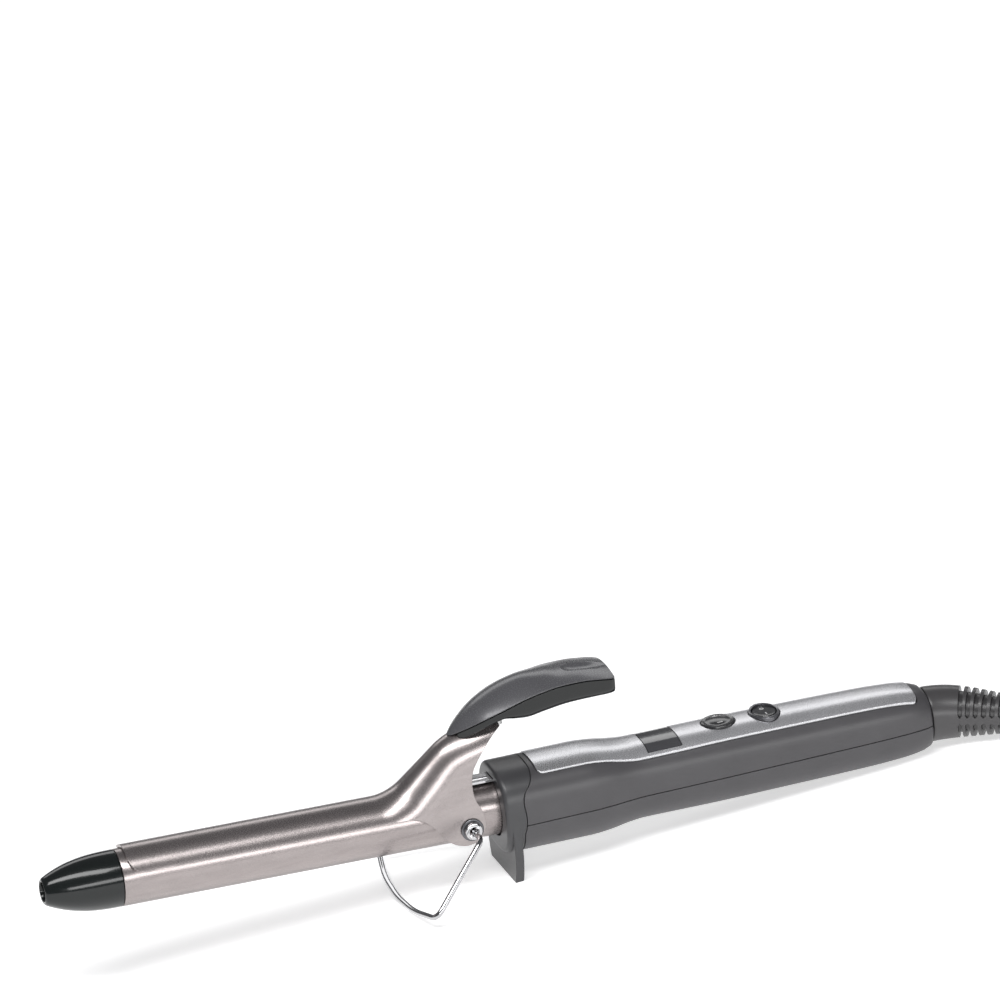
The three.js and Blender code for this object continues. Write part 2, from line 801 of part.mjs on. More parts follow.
/** The same for a finished solid. */
function tiltSolid(body) {
  return body
    .translate([-handleTiltStation, 0, 0])
    .rotate([0, -THREE.MathUtils.radToDeg(handleTilt), 0])
    .translate([handleTiltStation, 0, handleAxisHeight]);
}

/** The S-shaped joint between collar and handle, as the region in front of it. */
function frontOfSeam(shift) {
  const s = seamStation + shift;
  const shape = new THREE.Shape();
  shape.moveTo(140, 30);
  shape.lineTo(s + 4.6, 30);
  shape.lineTo(s + 4.4, 13.5);
  shape.quadraticCurveTo(s + 3.6, 10.5, s + 1.2, 8.6);
  shape.quadraticCurveTo(s - 0.9, 6.5, s, 2);
  shape.quadraticCurveTo(s + 0.7, -2.5, s - 0.7, -6);
  shape.lineTo(s - 0.8, -30);
  shape.lineTo(140, -30);
  shape.closePath();
  return extrudeY(shape, -30, 30);
}

const slotHalfWidth = plateHalfWidth + GAP;
const plateSlot = box(collarFront - 5, plateRear + 1, -slotHalfWidth, slotHalfWidth, 5, plateTop + GAP);
const collarHole = barrelRadius + 0.6;

/** Table height under a station of the barrel axis. */
const tableAt = (x) => REST_HEIGHT - (REST_STATION - x) * Math.tan(REST_PITCH);

function collar() {
  const outer = solid(handleSolid(0, collarFront + collarEdge));
  const brow = solid(handleSolid(-collarEdge, collarFront, collarFront + collarEdge + 1));
  const hollow = solid(handleSolid(-handleWall, collarFront + 3.4));
  const low = tableAt(footFront + footThickness / 2);
  const foot = extrudeX(
    shapeOf([
      [-footHalfWidth, low - 3],
      [footHalfWidth, low - 3],
      [footHalfWidth, low],
      [footShoulderHalfWidth, footShoulderHeight],
      [footShoulderHalfWidth, -3],
      [-footShoulderHalfWidth, -3],
      [-footShoulderHalfWidth, footShoulderHeight],
      [-footHalfWidth, low],
    ]),
    footFront,
    footFront + footThickness,
  );
  const table = extrudeY(
    shapeOf([
      [100, tableAt(100)],
      [200, tableAt(200)],
      [200, -60],
      [100, -60],
    ]),
    -40,
    40,
  );
  const bore = latheX([[140, 0], [140, collarHole], [190, collarHole], [190, 0]], 40);
  let body = outer.intersect(solid(frontOfSeam(-GAP / 2)));
  body = body.add(brow).subtract(hollow);
  body = body.add(solid(foot));
  return cut(body, table, bore, plateSlot.clone());
}

// ---- handle shells
const partingAt = (x) => partingFall + partingSlope * (x - handleTiltStation);

/** Everything above the parting line between the shells, in the handle's own frame. */
function aboveParting(shift) {
  const shape = shapeOf([
    [140, partingAt(140) + shift],
    [320, partingAt(320) + shift],
    [320, 60],
    [140, 60],
  ]);
  return inHandle(extrudeY(shape, -40, 40));
}

/** Rounded outline in X and Y. */
function roundedOutline(x0, x1, half, corner, grow = 0) {
  const [a, b, h] = [x0 - grow, x1 + grow, half + grow];
  const r = corner + grow;
  const shape = new THREE.Shape();
  shape.moveTo(a + r, -h);
  shape.lineTo(b - r, -h);
  shape.absarc(b - r, -h + r, r, -Math.PI / 2, 0, false);
  shape.lineTo(b, h - r);
  shape.absarc(b - r, h - r, r, 0, Math.PI / 2, false);
  shape.lineTo(a + r, h);
  shape.absarc(a + r, h - r, r, Math.PI / 2, Math.PI, false);
  shape.lineTo(a, -h + r);
  shape.absarc(a + r, -h + r, r, Math.PI, 1.5 * Math.PI, false);
  return shape;
}

/** A leaf: a pointed oval, its points along Y. */
function leafOutline(station, halfLength, halfWidth) {
  const steps = 20;
  const points = [];
  for (let i = 0; i < steps; i += 1) {
    const t = (2 * Math.PI * i) / steps;
    const pointed = Math.sign(Math.sin(t)) * Math.abs(Math.sin(t)) ** 1.15;
    points.push([station + halfLength * Math.cos(t), halfWidth * pointed]);
  }
  return shapeOf(points);
}

const tailWall = 2.4;
const cavityRear = handleRear - tailWall;
const neckHole = bootNeckRadius + GAP;

function handleShellBlank() {
  const outer = solid(handleSolid(0, 158));
  const cavity = solid(handleSolid(-handleWall, 150, cavityRear));
  const neck = inHandle(latheX([[290, 0], [290, neckHole], [310, neckHole], [310, 0]]));
  const front = solid(frontOfSeam(GAP / 2));
  return cut(outer.subtract(cavity).subtract(front), neck);
}

const postRadius = 3.2;

/** A screw post that fills the shell's cavity between two heights. */
function post(x, z0, z1, radius) {
  const body = solid(inHandle(rodZ(x, 0, z0, z1, radius)));
  return body.intersect(solid(handleSolid(-handleWall + 0.3, 158, cavityRear)));
}

const windowRear = windowFront + windowLength;
const rockerHole = rockerRadius + GAP;

function handleUpperShell() {
  let body = handleShellBlank().intersect(solid(aboveParting(GAP / 2)));
  for (const x of screwStations) {
    body = body.add(post(x, partingAt(x) + 1, 20, postRadius));
    body = cut(body, inHandle(rodZ(x, 0, -20, partingAt(x) + 8, screwShank + GAP)));
  }
  const recess = solid(inHandle(extrudeZ(panelOutline(GAP), 0, 30)));
  const floor = solid(handleSolid(-panelThickness - GAP));
  body = body.subtract(recess.subtract(floor));
  return cut(
    body,
    inHandle(box(windowFront + 1.2, windowRear - 1.2, -6.4, 6.4, 0, 30)),
    inHandle(rodZ(rockerStation, 0, 0, 30, rockerHole, 28)),
    inHandle(extrudeZ(leafOutline(powerStation, powerHalfLength + GAP, powerHalfWidth + GAP), 0, 30)),
  );
}

function handleLowerShell() {
  const above = solid(aboveParting(-GAP / 2));
  let body = handleShellBlank().subtract(above);
  for (const x of screwStations) {
    const top = partingAt(x) + 0.6;
    body = body.add(post(x, -20, top, postRadius + 0.6));
    const seat = partingAt(x) - 4;
    body = cut(
      body,
      inHandle(rodZ(x, 0, -20, seat, screwHead + GAP)),
      inHandle(rodZ(x, 0, seat - 1, 20, screwShank + GAP)),
    );
  }
  for (const x of boardScrews) {
    body = body.add(post(x, -20, boardHeight - GAP, postRadius));
    body = cut(body, inHandle(rodZ(x, 0, boardHeight - 5, 20, boardScrewShank + GAP, 12)));
  }
  return body;
}

function shellScrew(x) {
  const seat = partingAt(x) - 4 - GAP;
  const head = rodZ(x, 0, seat - 1.6, seat, screwHead);
  return tiltSolid(unite(head, rodZ(x, 0, seat - 0.5, partingAt(x) + 6.5, screwShank)));
}

// ---- top panel, display and switches
function skin(outline, depth, proud) {
  const region = solid(inHandle(extrudeZ(outline, 0, 30)));
  return region.intersect(solid(handleSolid(proud))).subtract(solid(handleSolid(-depth)));
}

/** The panel's plan: rounded ends, and slightly narrower towards the tail. */
function panelOutline(grow = 0) {
  const r = panelCorner + grow;
  const [a, b] = [panelFront - grow, panelRear + grow];
  const [wide, narrow] = [panelHalfWidth + grow, panelRearHalfWidth + grow];
  const shape = new THREE.Shape();
  shape.moveTo(a + r, -wide);
  shape.lineTo(windowFront + windowLength, -wide);
  shape.lineTo(b - r, -narrow);
  shape.quadraticCurveTo(b, -narrow, b, -narrow + r);
  shape.lineTo(b, narrow - r);
  shape.quadraticCurveTo(b, narrow, b - r, narrow);
  shape.lineTo(windowFront + windowLength, wide);
  shape.lineTo(a + r, wide);
  shape.quadraticCurveTo(a, wide, a, wide - r);
  shape.lineTo(a, -wide + r);
  shape.quadraticCurveTo(a, -wide, a + r, -wide);
  return shape;
}

function topPanel() {
  return cut(
    skin(panelOutline(), panelThickness, panelProud),
    inHandle(box(windowFront, windowRear, -windowHalfWidth, windowHalfWidth, 0, 30)),
    inHandle(rodZ(rockerStation, 0, 0, 30, rockerHole, 28)),
    inHandle(extrudeZ(leafOutline(powerStation, powerHalfLength, powerHalfWidth), 0, 30)),
  );
}

function displayWindow() {
  const half = windowHalfWidth - GAP;
  const outline = roundedOutline(windowFront + GAP, windowRear - GAP, half, 0.6);
  return skin(outline, panelThickness, panelProud - 0.1);
}

const boardTop = boardHeight + boardThickness;
const deck = 12.7; // height of the handle's crown above its axis near the switches

function temperatureRocker() {
  const cap = latheZ(
    [
      [0, deck - 3],
      [rockerRadius, deck - 3],
      [rockerRadius, deck + rockerProud - 0.9],
      [rockerRadius - 1, deck + rockerProud - 0.2],
      [0, deck + rockerProud],
    ],
    rockerStation,
    28,
  );
  const stem = box(rockerStation - 1.5, rockerStation + 1.5, -3.6, 3.6, deck - 5, deck - 2.5);
  return tiltSolid(unite(cap, stem));
}

/** A solid of revolution about the line along Z at a station, from [radius, height] points. */
function latheZ(points, station, segments) {
  const profile = points.map(([r, z]) => new THREE.Vector2(r, z));
  return new THREE.LatheGeometry(profile, segments).rotateX(Math.PI / 2).translate(station, 0, 0);
}

function powerBezel() {
  const outline = leafOutline(powerStation, powerHalfLength - GAP, powerHalfWidth - GAP);
  const outer = extrudeZ(outline, deck - 3.4, deck + 0.9);
  const [l, w] = [powerHalfLength - bezelWidth, powerHalfWidth - bezelWidth * 1.3];
  return tiltSolid(cut(solid(outer), extrudeZ(leafOutline(powerStation, l, w), 0, 30)));
}

const powerHinge = deck - 1; // height of the rocker's axis
const powerTilt = -4; // resting tilt, far side down
const powerCapLength = powerHalfLength - bezelWidth - GAP;
const powerCapWidth = powerHalfWidth - bezelWidth * 1.3 - GAP;

function powerRocker() {
  const outline = leafOutline(powerStation, powerCapLength, powerCapWidth);
  const cap = extrudeZ(outline, deck - 2.6, deck + powerProud);
  const stem = box(powerStation - 1.2, powerStation + 1.2, -2.4, 2.4, deck - 4.4, deck - 2.2);
  const level = unite(cap, stem).translate([0, 0, -powerHinge]);
  return tiltSolid(level.rotate([powerTilt, 0, 0]).translate([0, 0, powerHinge]));
}

// ---- electronics
function circuitBoard() {
  const board = inHandle(box(boardFront, boardRear, -boardHalfWidth, boardHalfWidth, boardHeight, boardTop));
  const holes = boardScrews.map((x) => inHandle(rodZ(x, 0, -5, 20, boardScrewShank + GAP, 12)));
  return cut(solid(board), ...holes);
}

function boardScrew(x) {
  const head = rodZ(x, 0, boardTop + GAP, boardTop + GAP + 1.2, 1.9, 12);
  return tiltSolid(unite(head, rodZ(x, 0, boardHeight - 4, boardTop + 0.8, boardScrewShank, 12)));
}

/** A plain component standing on the board. */
const onBoard = (x0, x1, y0, y1, height) =>
  inHandle(box(x0, x1, y0, y1, boardTop + GAP, boardTop + GAP + height));

// ---- swivel and boot
const bootFront = handleRear + GAP;
const flangeFront = cavityRear - 3;

/** Centre line and radius of the boot, from 0 at the handle to 1 at its open end. */
function bootStation(t) {
  const steps = 24;
  const at = vec(bootFront, 0, 0);
  const turned = (share) => 1 - (1 - clamp01(share * 2.2)) ** 2;
  for (let i = 0; i < steps; i += 1) {
    const share = clamp01(steps * t - i);
    const bend = turned((i + 0.5) / steps);
    const step = (bootLength * share) / steps;
    const [y, z] = [Math.sin(bootYaw * bend), Math.sin(bootDroop * bend)];
    at.add(vec(Math.cos(bootYaw * bend), y, z).multiplyScalar(step));
  }
  const radius = bootEndRadius + (bootRadius - bootEndRadius) * (1 - smooth(clamp01(t * 1.05))) ** 0.9;
  return { at, yaw: bootYaw * turned(t), droop: bootDroop * turned(t), radius };
}

/** A round loft along the boot's centre line between two shares of its length. */
function bootLoft(from, to, steps, radiusOf, segments = 24) {
  return roundLoft(steps + 1, segments, (k, angle, share) => {
    const t = from + ((to - from) * k) / steps;
    const s = bootStation(t);
    const r = share * radiusOf(s.radius, t);
    const across = vec(-Math.sin(s.yaw), Math.cos(s.yaw), 0);
    const along = vec(Math.cos(s.yaw) * Math.cos(s.droop), Math.sin(s.yaw), Math.sin(s.droop)).normalize();
    const up = new THREE.Vector3().crossVectors(along, across);
    const at = s.at.clone().addScaledVector(across, r * Math.cos(angle));
    return at.addScaledVector(up, r * Math.sin(angle));
  });
}

/** One ring of slots: two pockets, parted by a rib on each side of the boot. */
function bootSlots(k) {
  const middle = (slotStart + k * slotPitch) / bootLength;
  const half = slotWidth / 2 / bootLength;
  const ring = solid(bootLoft(middle - half, middle + half, 1, (r) => r + 1.5, 12));
  const floorOf = (r) => Math.max(r - slotDepth, bootBore + 0.8);
  const core = solid(bootLoft(middle - 2 * half, middle + 2 * half, 1, floorOf, 12));
  const s = bootStation(middle);
  const level = box(-3, 3, -20, 20, -0.9, 0.9);
  const rib = level.rotateY(-s.droop).rotateZ(s.yaw).translate(s.at.x, s.at.y, s.at.z);
  return ring.subtract(core).subtract(solid(rib));
}

function strainReliefBoot() {
  let body = solid(bootLoft(0, 1, 10, (r) => r, 20));
  const neck = latheX([
    [flangeFront - 2, 0],
    [flangeFront - 2, bootFlangeRadius],
    [cavityRear - GAP, bootFlangeRadius],
    [cavityRear - GAP, bootNeckRadius],
    [bootFront + 0.5, bootNeckRadius],
    [bootFront + 0.5, 0],
  ]);
  body = body.add(solid(neck));
  for (let k = 0; k < slotCount; k += 1) body = body.subtract(bootSlots(k));
  body = body.subtract(solid(bootLoft(0.01, 1, 10, () => bootBore, 12)));
  const throat = latheX([[280, 0], [280, bootBore], [bootFront + 1, bootBore], [bootFront + 1, 0]], 12);
  body = body.subtract(solid(throat));
  const end = bootLoft(0.97, 1, 1, () => bootBore, 12);
  const last = bootStation(1);
  const reach = vec(Math.cos(last.yaw), Math.sin(last.yaw), Math.sin(last.droop)).multiplyScalar(0.8);
  body = body.subtract(solid(end.translate(reach.x, reach.y, reach.z)));
  return tiltSolid(body);
}

const hubRear = flangeFront - 2 - GAP;
const hubFront = hubRear - 3;
const discRear = hubFront - 1.6;
const discFront = discRear - 2;
const contactPinRadius = 0.9;
const contactPinOffsets = [3.6, -5.1]; // two tracks, one on each side of the axis

function swivelHub() {
  const hub = ringX([[hubFront, 2], [hubFront, 7.2], [hubRear, 7.2], [hubRear, 2]], 24);
  const r = contactPinRadius + GAP;
  const hole = [[hubFront - 1, 0], [hubFront - 1, r], [hubRear + 1, r], [hubRear + 1, 0]];
  const holes = contactPinOffsets.map((y) => inHandle(latheX(hole, 12).translate(0, y, 0)));
  return cut(tiltSolid(solid(hub)), ...holes);
}

function contactPin(y) {
  const r = contactPinRadius;
  const front = discRear + GAP;
  const pin = latheX([[front, 0], [front + 0.4, r], [hubRear - GAP, r], [hubRear - GAP, 0]], 12);
  return inHandle(pin.translate(0, y, 0));
}

function slipRingDisc() {
  const r = 8.2;
  return inHandle(ringX([[discFront, 1.6], [discFront, r], [discRear, r], [discRear, 1.6]], 28));
}

// ---- barrel holder
const holderFront = 165.4;
const holderRear = barrelRear - 1;

function barrelHolder() {
  const outer = 12;
  const inner = barrelRadius + GAP;
  return ringX([[holderFront, inner], [holderFront, outer], [holderRear, outer], [holderRear, inner]], 36);
}

// ---------------------------------------------------------------- assembly
add('nose_cap', noseCap(), 'nose');
add('barrel_tube', barrelTube(), 'titanium');
add('core_half_upper', coreHalf(1), 'aluminium');
add('core_half_lower', coreHalf(-1), 'aluminium');
const [heaterHalf, heaterRise] = [heaterWidth / 2, heaterThickness / 2];
const heater = box(coreFront + 4, coreRear - 2, -heaterHalf, heaterHalf, -heaterRise, heaterRise);
add('ptc_heater', heater, 'ceramic');
const [beadFront, beadRear] = [coreRear + GAP, coreRear + thermistorLength];
const bead = latheX([[beadFront, 0], [beadFront, 1], [beadRear, 1], [beadRear, 0]], 12);
add('thermistor', bead.translate(0, 0, -4.2), 'ceramic');
add('pivot_block', pivotBlock(), 'steel');
add('pivot_screw_left', pivotScrew(-1), 'chrome');
add('pivot_screw_right', pivotScrew(1), 'chrome');
add('pivot_washer_left', pivotWasher(-1), 'chrome');
add('pivot_washer_right', pivotWasher(1), 'chrome');
add('barrel_holder', barrelHolder(), 'phenolic');
add('clip_spoon', clipSpoon(), 'titanium');
add('lever_shell', leverShell(), 'gloss');
add('lever_cover', leverCover(), 'cover');
add('lever_screw_front', leverScrew(leverScrews[0]), 'steel');
add('lever_screw_rear', leverScrew(leverScrews[1]), 'steel');
add('spring_plate', springPlate(), 'chrome');
add('spring_pin', springPin(), 'steel');
add('clip_spring', clipSpring(), 'chrome');
add('stand_wire', standWireShape(), 'chrome');
add('collar', collar(), 'collar');
add('handle_upper_shell', handleUpperShell(), 'handle');
add('handle_lower_shell', handleLowerShell(), 'handle');
screwStations.forEach((x, i) => add(`shell_screw_${['front', 'rear'][i]}`, shellScrew(x), 'steel'));
add('top_panel', topPanel(), 'panel');
add('display_window', displayWindow(), 'window');
add('temperature_rocker', temperatureRocker(), 'button');
add('power_bezel', powerBezel(), 'button');
add('power_rocker', powerRocker(), 'button');
add('circuit_board', circuitBoard(), 'board');
add('lcd_module', onBoard(windowFront + 0.8, windowRear - 0.8, -6, 6, 5), 'lcd');
add('tact_switch_plus', onBoard(rockerStation - 1.6, rockerStation + 1.6, 1.2, 4.4, 2.8), 'component');
add('tact_switch_minus', onBoard(rockerStation - 1.6, rockerStation + 1.6, -4.4, -1.2, 2.8), 'component');
add('power_switch', onBoard(powerStation - 4, powerStation + 4, -4, 4, 3), 'component');
add('triac', onBoard(221, 224, -5, 5, 4.4), 'component');
add('capacitor', onBoard(257, 262, -6, 4, 4.6), 'component');
add('fuse', onBoard(213.5, 219, -8.4, -6.4, 2), 'ceramic');
boardScrews.forEach((x, i) => add(`board_screw_${['front', 'rear'][i]}`, boardScrew(x), 'steel'));
add('strain_relief_boot', strainReliefBoot(), 'rubber');
add('swivel_hub', swivelHub(), 'component');
add('contact_pin_live', contactPin(contactPinOffsets[0]), 'copper');
add('contact_pin_neutral', contactPin(contactPinOffsets[1]), 'copper');
add('slip_ring_disc', slipRingDisc(), 'component');

/** An insulated lead between two places, on a smooth run. */
const lead = (points, steps) => wire(points, leadRadius, steps, 6);
for (const [name, side, colour] of [['live', 1, 'wireRed'], ['neutral', -1, 'wireWhite']]) {
  const heaterRun = [
    vec(coreRear + 1, side * 3, 0.2),
    vec(coreRear + 4, side * 3, 2.5),
    vec(pivotStation - 7, side * 2.6, 5.6),
    vec(pivotStation + 7, side * 2.6, 5.8),
    vec(barrelRear - 8, side * 2.6, 4.4),
    vec(barrelRear + 6, side * 6, 3.4),
    vec(boardFront - 2, side * 6, 4),
  ];
  add(`heater_lead_${name}`, lead(heaterRun, 30), colour);
  const mainsRun = [
    vec(boardRear + 1.4, side * 5.5, 5),
    vec(boardRear + 5, side * 5.5, 4.6),
    vec(screwStations[1], side * 5.6, 4),
    vec(discFront - 4, side * 5, 3.6),
    vec(discFront - 0.6, side * 5, 3.4),
  ];
  add(`mains_lead_${name}`, lead(mainsRun, 14), colour);
}

// Stand the iron on the table: pitch it nose up and put the origin under the middle of its box.
iron.rotation.y = REST_PITCH;
const assembly = new THREE.Group();
assembly.add(iron);
assembly.updateMatrixWorld(true);
const extent = new THREE.Box3().setFromObject(assembly, true);
const middle = extent.getCenter(new THREE.Vector3());
iron.position.set(-middle.x, -middle.y, -extent.min.z);
assembly.updateMatrixWorld(true);

export default assembly;
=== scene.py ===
"""A spring-clip curling iron with a wire stand, a digital display and a swivel cord boot."""
import json
import math

import bpy
import bmesh
from mathutils import Matrix, Vector


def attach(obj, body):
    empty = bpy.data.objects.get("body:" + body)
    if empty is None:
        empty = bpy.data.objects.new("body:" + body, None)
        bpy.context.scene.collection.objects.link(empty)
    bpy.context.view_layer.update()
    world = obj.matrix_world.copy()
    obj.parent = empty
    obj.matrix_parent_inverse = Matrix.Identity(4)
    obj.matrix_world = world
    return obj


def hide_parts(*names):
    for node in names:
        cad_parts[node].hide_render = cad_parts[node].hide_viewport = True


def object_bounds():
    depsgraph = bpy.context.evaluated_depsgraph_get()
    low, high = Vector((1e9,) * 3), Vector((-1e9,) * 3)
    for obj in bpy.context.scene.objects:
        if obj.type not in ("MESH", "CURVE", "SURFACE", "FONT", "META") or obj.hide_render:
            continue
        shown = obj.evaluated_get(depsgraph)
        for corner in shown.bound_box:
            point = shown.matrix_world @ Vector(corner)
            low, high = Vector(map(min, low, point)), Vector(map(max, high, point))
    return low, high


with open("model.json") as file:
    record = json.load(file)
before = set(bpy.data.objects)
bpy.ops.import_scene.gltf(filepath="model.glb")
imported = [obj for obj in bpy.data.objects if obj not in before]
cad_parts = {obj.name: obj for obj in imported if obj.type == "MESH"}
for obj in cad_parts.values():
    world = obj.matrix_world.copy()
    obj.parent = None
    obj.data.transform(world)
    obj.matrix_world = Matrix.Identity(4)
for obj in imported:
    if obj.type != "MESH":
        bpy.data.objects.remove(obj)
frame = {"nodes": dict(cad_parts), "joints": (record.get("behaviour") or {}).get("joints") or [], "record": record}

CAD_BOX = [list(corner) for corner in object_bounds()]
scene = bpy.context.scene
TAU = 2 * math.pi

# ---------------------------------------------------------------- dimensions, in millimetres
# Drawn with X along the barrel from the nose to the tail, Y across and Z up, as the CAD is.
GAP = 0.3
NOSE_LENGTH, NOSE_RIM, NOSE_BORE, NOSE_FULLNESS = 25, 4.3, 3.2, 2.6
SPIGOT_LENGTH, SPIGOT_BORE = 10, 6.4
BARREL_R, BARREL_WALL, BARREL_REAR = 9.5, 1, 176
PIVOT_X, PIVOT_Z = 142.7, -2.5
CLIP_FRONT, CLIP_SHEET, CLIP_WRAP = 27.6, 0.8, math.radians(66)
ARM_CORNER, ARM_SLOPE, ARM_BEND = 122.3, math.radians(40), 25
SEAT_X, SEAT_BEND, SEAT_SLOPE, SEAT_LENGTH, ARM_TAPER = 141, 14, math.radians(14), 12, 0.82
EAR_IN, EAR_OUT = BARREL_R + GAP, BARREL_R + GAP + CLIP_SHEET
LEVER_FRONT, LEVER_REAR, LEVER_HALF, SHELL_FRONT = 139.6, 195.2, 10.5, 142
SPRING_X, SPRING_Z, SPRING_R, SPRING_WIRE, SPRING_TURNS = 141, BARREL_R + 5.2, 3.2, 0.6, 4
STAND_WIRE, STAND_HALF, STAND_BOW, STAND_SHOULDER, STAND_STUB = 1, 32.3, 5.2, 20.5, 8
STAND_REACH = Vector((-20.4, -19.3))
COLLAR_FRONT, COLLAR_EDGE, SEAM_X = 153.3, 1.6, 160
FOOT_FRONT, FOOT_THICK, FOOT_HALF, SHOULDER_HALF, SHOULDER_Z = 155.2, 2.8, 13.2, 15.4, -17
HANDLE_REAR, WALL, TILT, TILT_X, AXIS_Z = 302.4, 1.8, math.atan(0.0225), 165, -0.35
SQUARENESS, BROADNESS = 2.7, 1.05
PARTING_FALL, PARTING_SLOPE = -2.5, 0.0155
PANEL_FRONT, PANEL_REAR, PANEL_HALF, PANEL_REAR_HALF = 166.8, 298, 10.1, 9
PANEL_CORNER, PANEL_THICK, PANEL_PROUD = 2.2, 1.4, 0.35
WINDOW_FRONT, WINDOW_REAR, WINDOW_HALF = 204.8, 216.8, 9.1
ROCKER_X, ROCKER_R, ROCKER_PROUD = 232, 5.6, 1.4
POWER_X, POWER_HALF_X, POWER_HALF_Y, BEZEL = 248, 5.3, 7.2, 1.1
DECK = 12.7
BOOT_R, BOOT_END_R, BOOT_LENGTH, BOOT_BORE = 9.2, 5.1, 45, 3.6
BOOT_YAW, BOOT_DROOP = math.radians(-30), math.radians(-4)
BOOT_NECK, BOOT_FLANGE, TAIL_WALL = 5, 7.6, 2.4
SLOT_START, SLOT_PITCH, SLOT_WIDTH, SLOT_COUNT, SLOT_DEPTH = 12.5, 2.75, 1.6, 9, 1.7

HANDLE_HEIGHTS = [(150, 14.5), (183, 14.5), (190, 14), (196, 13.1), (202, 12.6), (225, 12.7),
                  (256, 12.4), (281, 12), (292, 11.5), (299, 10.6), (HANDLE_REAR, 9.4)]
LEVER_EDGE = [(LEVER_FRONT, 27), (142, 28.7), (146, 31.1), (150, 33.2), (156, 35.8), (163, 38.2),
              (170, 39.9), (177, 41), (184, 41.2), (190, 40.7), (LEVER_REAR, 40)]
LEVER_BOTTOM = [(LEVER_FRONT, 23.8), (143, 25.7), (147, 28), (153, 31), (157, 32.4), (161, 31.7),
                (165, 31.3), (171, 32.3), (180, 33.6), (LEVER_REAR, 34.2)]
LEVER_DOME = [(LEVER_FRONT, 0.5), (142, 1.4), (146, 2.8), (151, 3.9), (158, 4.3), (165, 4),
              (173, 2.6), (180, 1.5), (LEVER_REAR, 1)]

# ---------------------------------------------------------------- where the drawing sits in the frame
joints = {j["name"]: j for j in frame["joints"]}
handle_axis = joints["boot_swivel"]["axis"]
PITCH = TILT - math.atan2(handle_axis[2], handle_axis[0])
hinge = Vector(joints["clip_hinge"]["pos_m"])
turn = Matrix.Rotation(PITCH, 4, "Y")
TOOL = (Matrix.Translation(hinge) @ turn @ Matrix.Scale(0.001, 4)
        @ Matrix.Translation((-PIVOT_X, 0, -PIVOT_Z)))


def clamp01(t):
    return min(1.0, max(0.0, t))


def smooth(t):
    return t * t * (3 - 2 * t)


def profile(points, x):
    """A value that runs smoothly through listed points, without overshooting them."""
    if x <= points[0][0]:
        return points[0][1]
    if x >= points[-1][0]:
        return points[-1][1]
    n = len(points)
    slopes = [(points[i + 1][1] - points[i][1]) / (points[i + 1][0] - points[i][0]) for i in range(n - 1)]

    def tangent(i):
        if i == 0:
            return slopes[0]
        if i == n - 1:
            return slopes[-1]
        a, b = slopes[i - 1], slopes[i]
        return 0 if a * b <= 0 else 2 * a * b / (a + b)

    for i in range(n - 1):
        (x0, v0), (x1, v1) = points[i], points[i + 1]
        if x <= x1:
            h = x1 - x0
            t = (x - x0) / h
            return (v0 * (1 + 2 * t) * (1 - t) ** 2 + tangent(i) * h * t * (1 - t) ** 2
                    + v1 * t * t * (3 - 2 * t) + tangent(i + 1) * h * t * t * (t - 1))


def spaced(a, b, n):
    return [a + (b - a) * i / n for i in range(n + 1)]


# ---------------------------------------------------------------- mesh tools
def mesh_object(name, verts, faces):
    mesh = bpy.data.meshes.new(name)
    mesh.from_pydata([tuple(v) for v in verts], [], faces)
    bm = bmesh.new()
    bm.from_mesh(mesh)
    bmesh.ops.remove_doubles(bm, verts=bm.verts, dist=1e-5)
    bmesh.ops.recalc_face_normals(bm, faces=bm.faces)
    bm.to_mesh(mesh)
    bm.free()
    obj = bpy.data.objects.new(name, mesh)
    scene.collection.objects.link(obj)
    return obj


def rings(name, rows, loop=False):
    """A skin over rows of equally many points. With loop, the last row joins the first."""
    n, m = len(rows), len(rows[0])
    verts = [p for row in rows for p in row]
    faces = []
    for i in range(n if loop else n - 1):
        j = (i + 1) % n
        for k in range(m):
            q = (k + 1) % m
            faces.append((i * m + k, i * m + q, j * m + q, j * m + k))
    if not loop:
        faces.append(tuple(reversed(range(m))))
        faces.append(tuple((n - 1) * m + k for k in range(m)))
    return mesh_object(name, verts, faces)


def ring_x(name, points, segments=96):
    """A solid of revolution about X from a closed profile of (station, radius)."""
    rows = [[(x, r * math.cos(TAU * k / segments), r * math.sin(TAU * k / segments))
             for k in range(segments)] for x, r in points]
    return rings(name, rows, loop=True)


def ring_y(name, points, x, z, segments=64):
    """The same about the line along Y through x and z."""
    rows = [[(x + r * math.cos(TAU * k / segments), y, z + r * math.sin(TAU * k / segments))
             for k in range(segments)] for y, r in points]
    return rings(name, rows, loop=True)


def dome_z(name, points, x, segments=72):
    """A capped solid of revolution about Z from open (radius, height) points."""
    rows = [[(x + r * math.cos(TAU * k / segments), r * math.sin(TAU * k / segments), z)
             for k in range(segments)] for r, z in points]
    return rings(name, rows)


def prism(name, outline, a, b, axis):
    """An outline drawn across an axis, carried from a to b along it."""
    if axis == "Y":
        rows = [[(u, w, v) for u, v in outline] for w in (a, b)]
    elif axis == "X":
        rows = [[(w, u, v) for u, v in outline] for w in (a, b)]
    else:
        rows = [[(u, v, w) for u, v in outline] for w in (a, b)]
    return rings(name, rows)


def block(name, x0, x1, y0, y1, z0, z1):
    return prism(name, [(x0, y0), (x1, y0), (x1, y1), (x0, y1)], z0, z1, "Z")


def quad(p0, p1, p2, n=10):
    """Points along a quadratic curve, without its first one."""
    return [((1 - t) ** 2 * p0[0] + 2 * t * (1 - t) * p1[0] + t * t * p2[0],
             (1 - t) ** 2 * p0[1] + 2 * t * (1 - t) * p1[1] + t * t * p2[1])
            for t in (i / n for i in range(1, n + 1))]


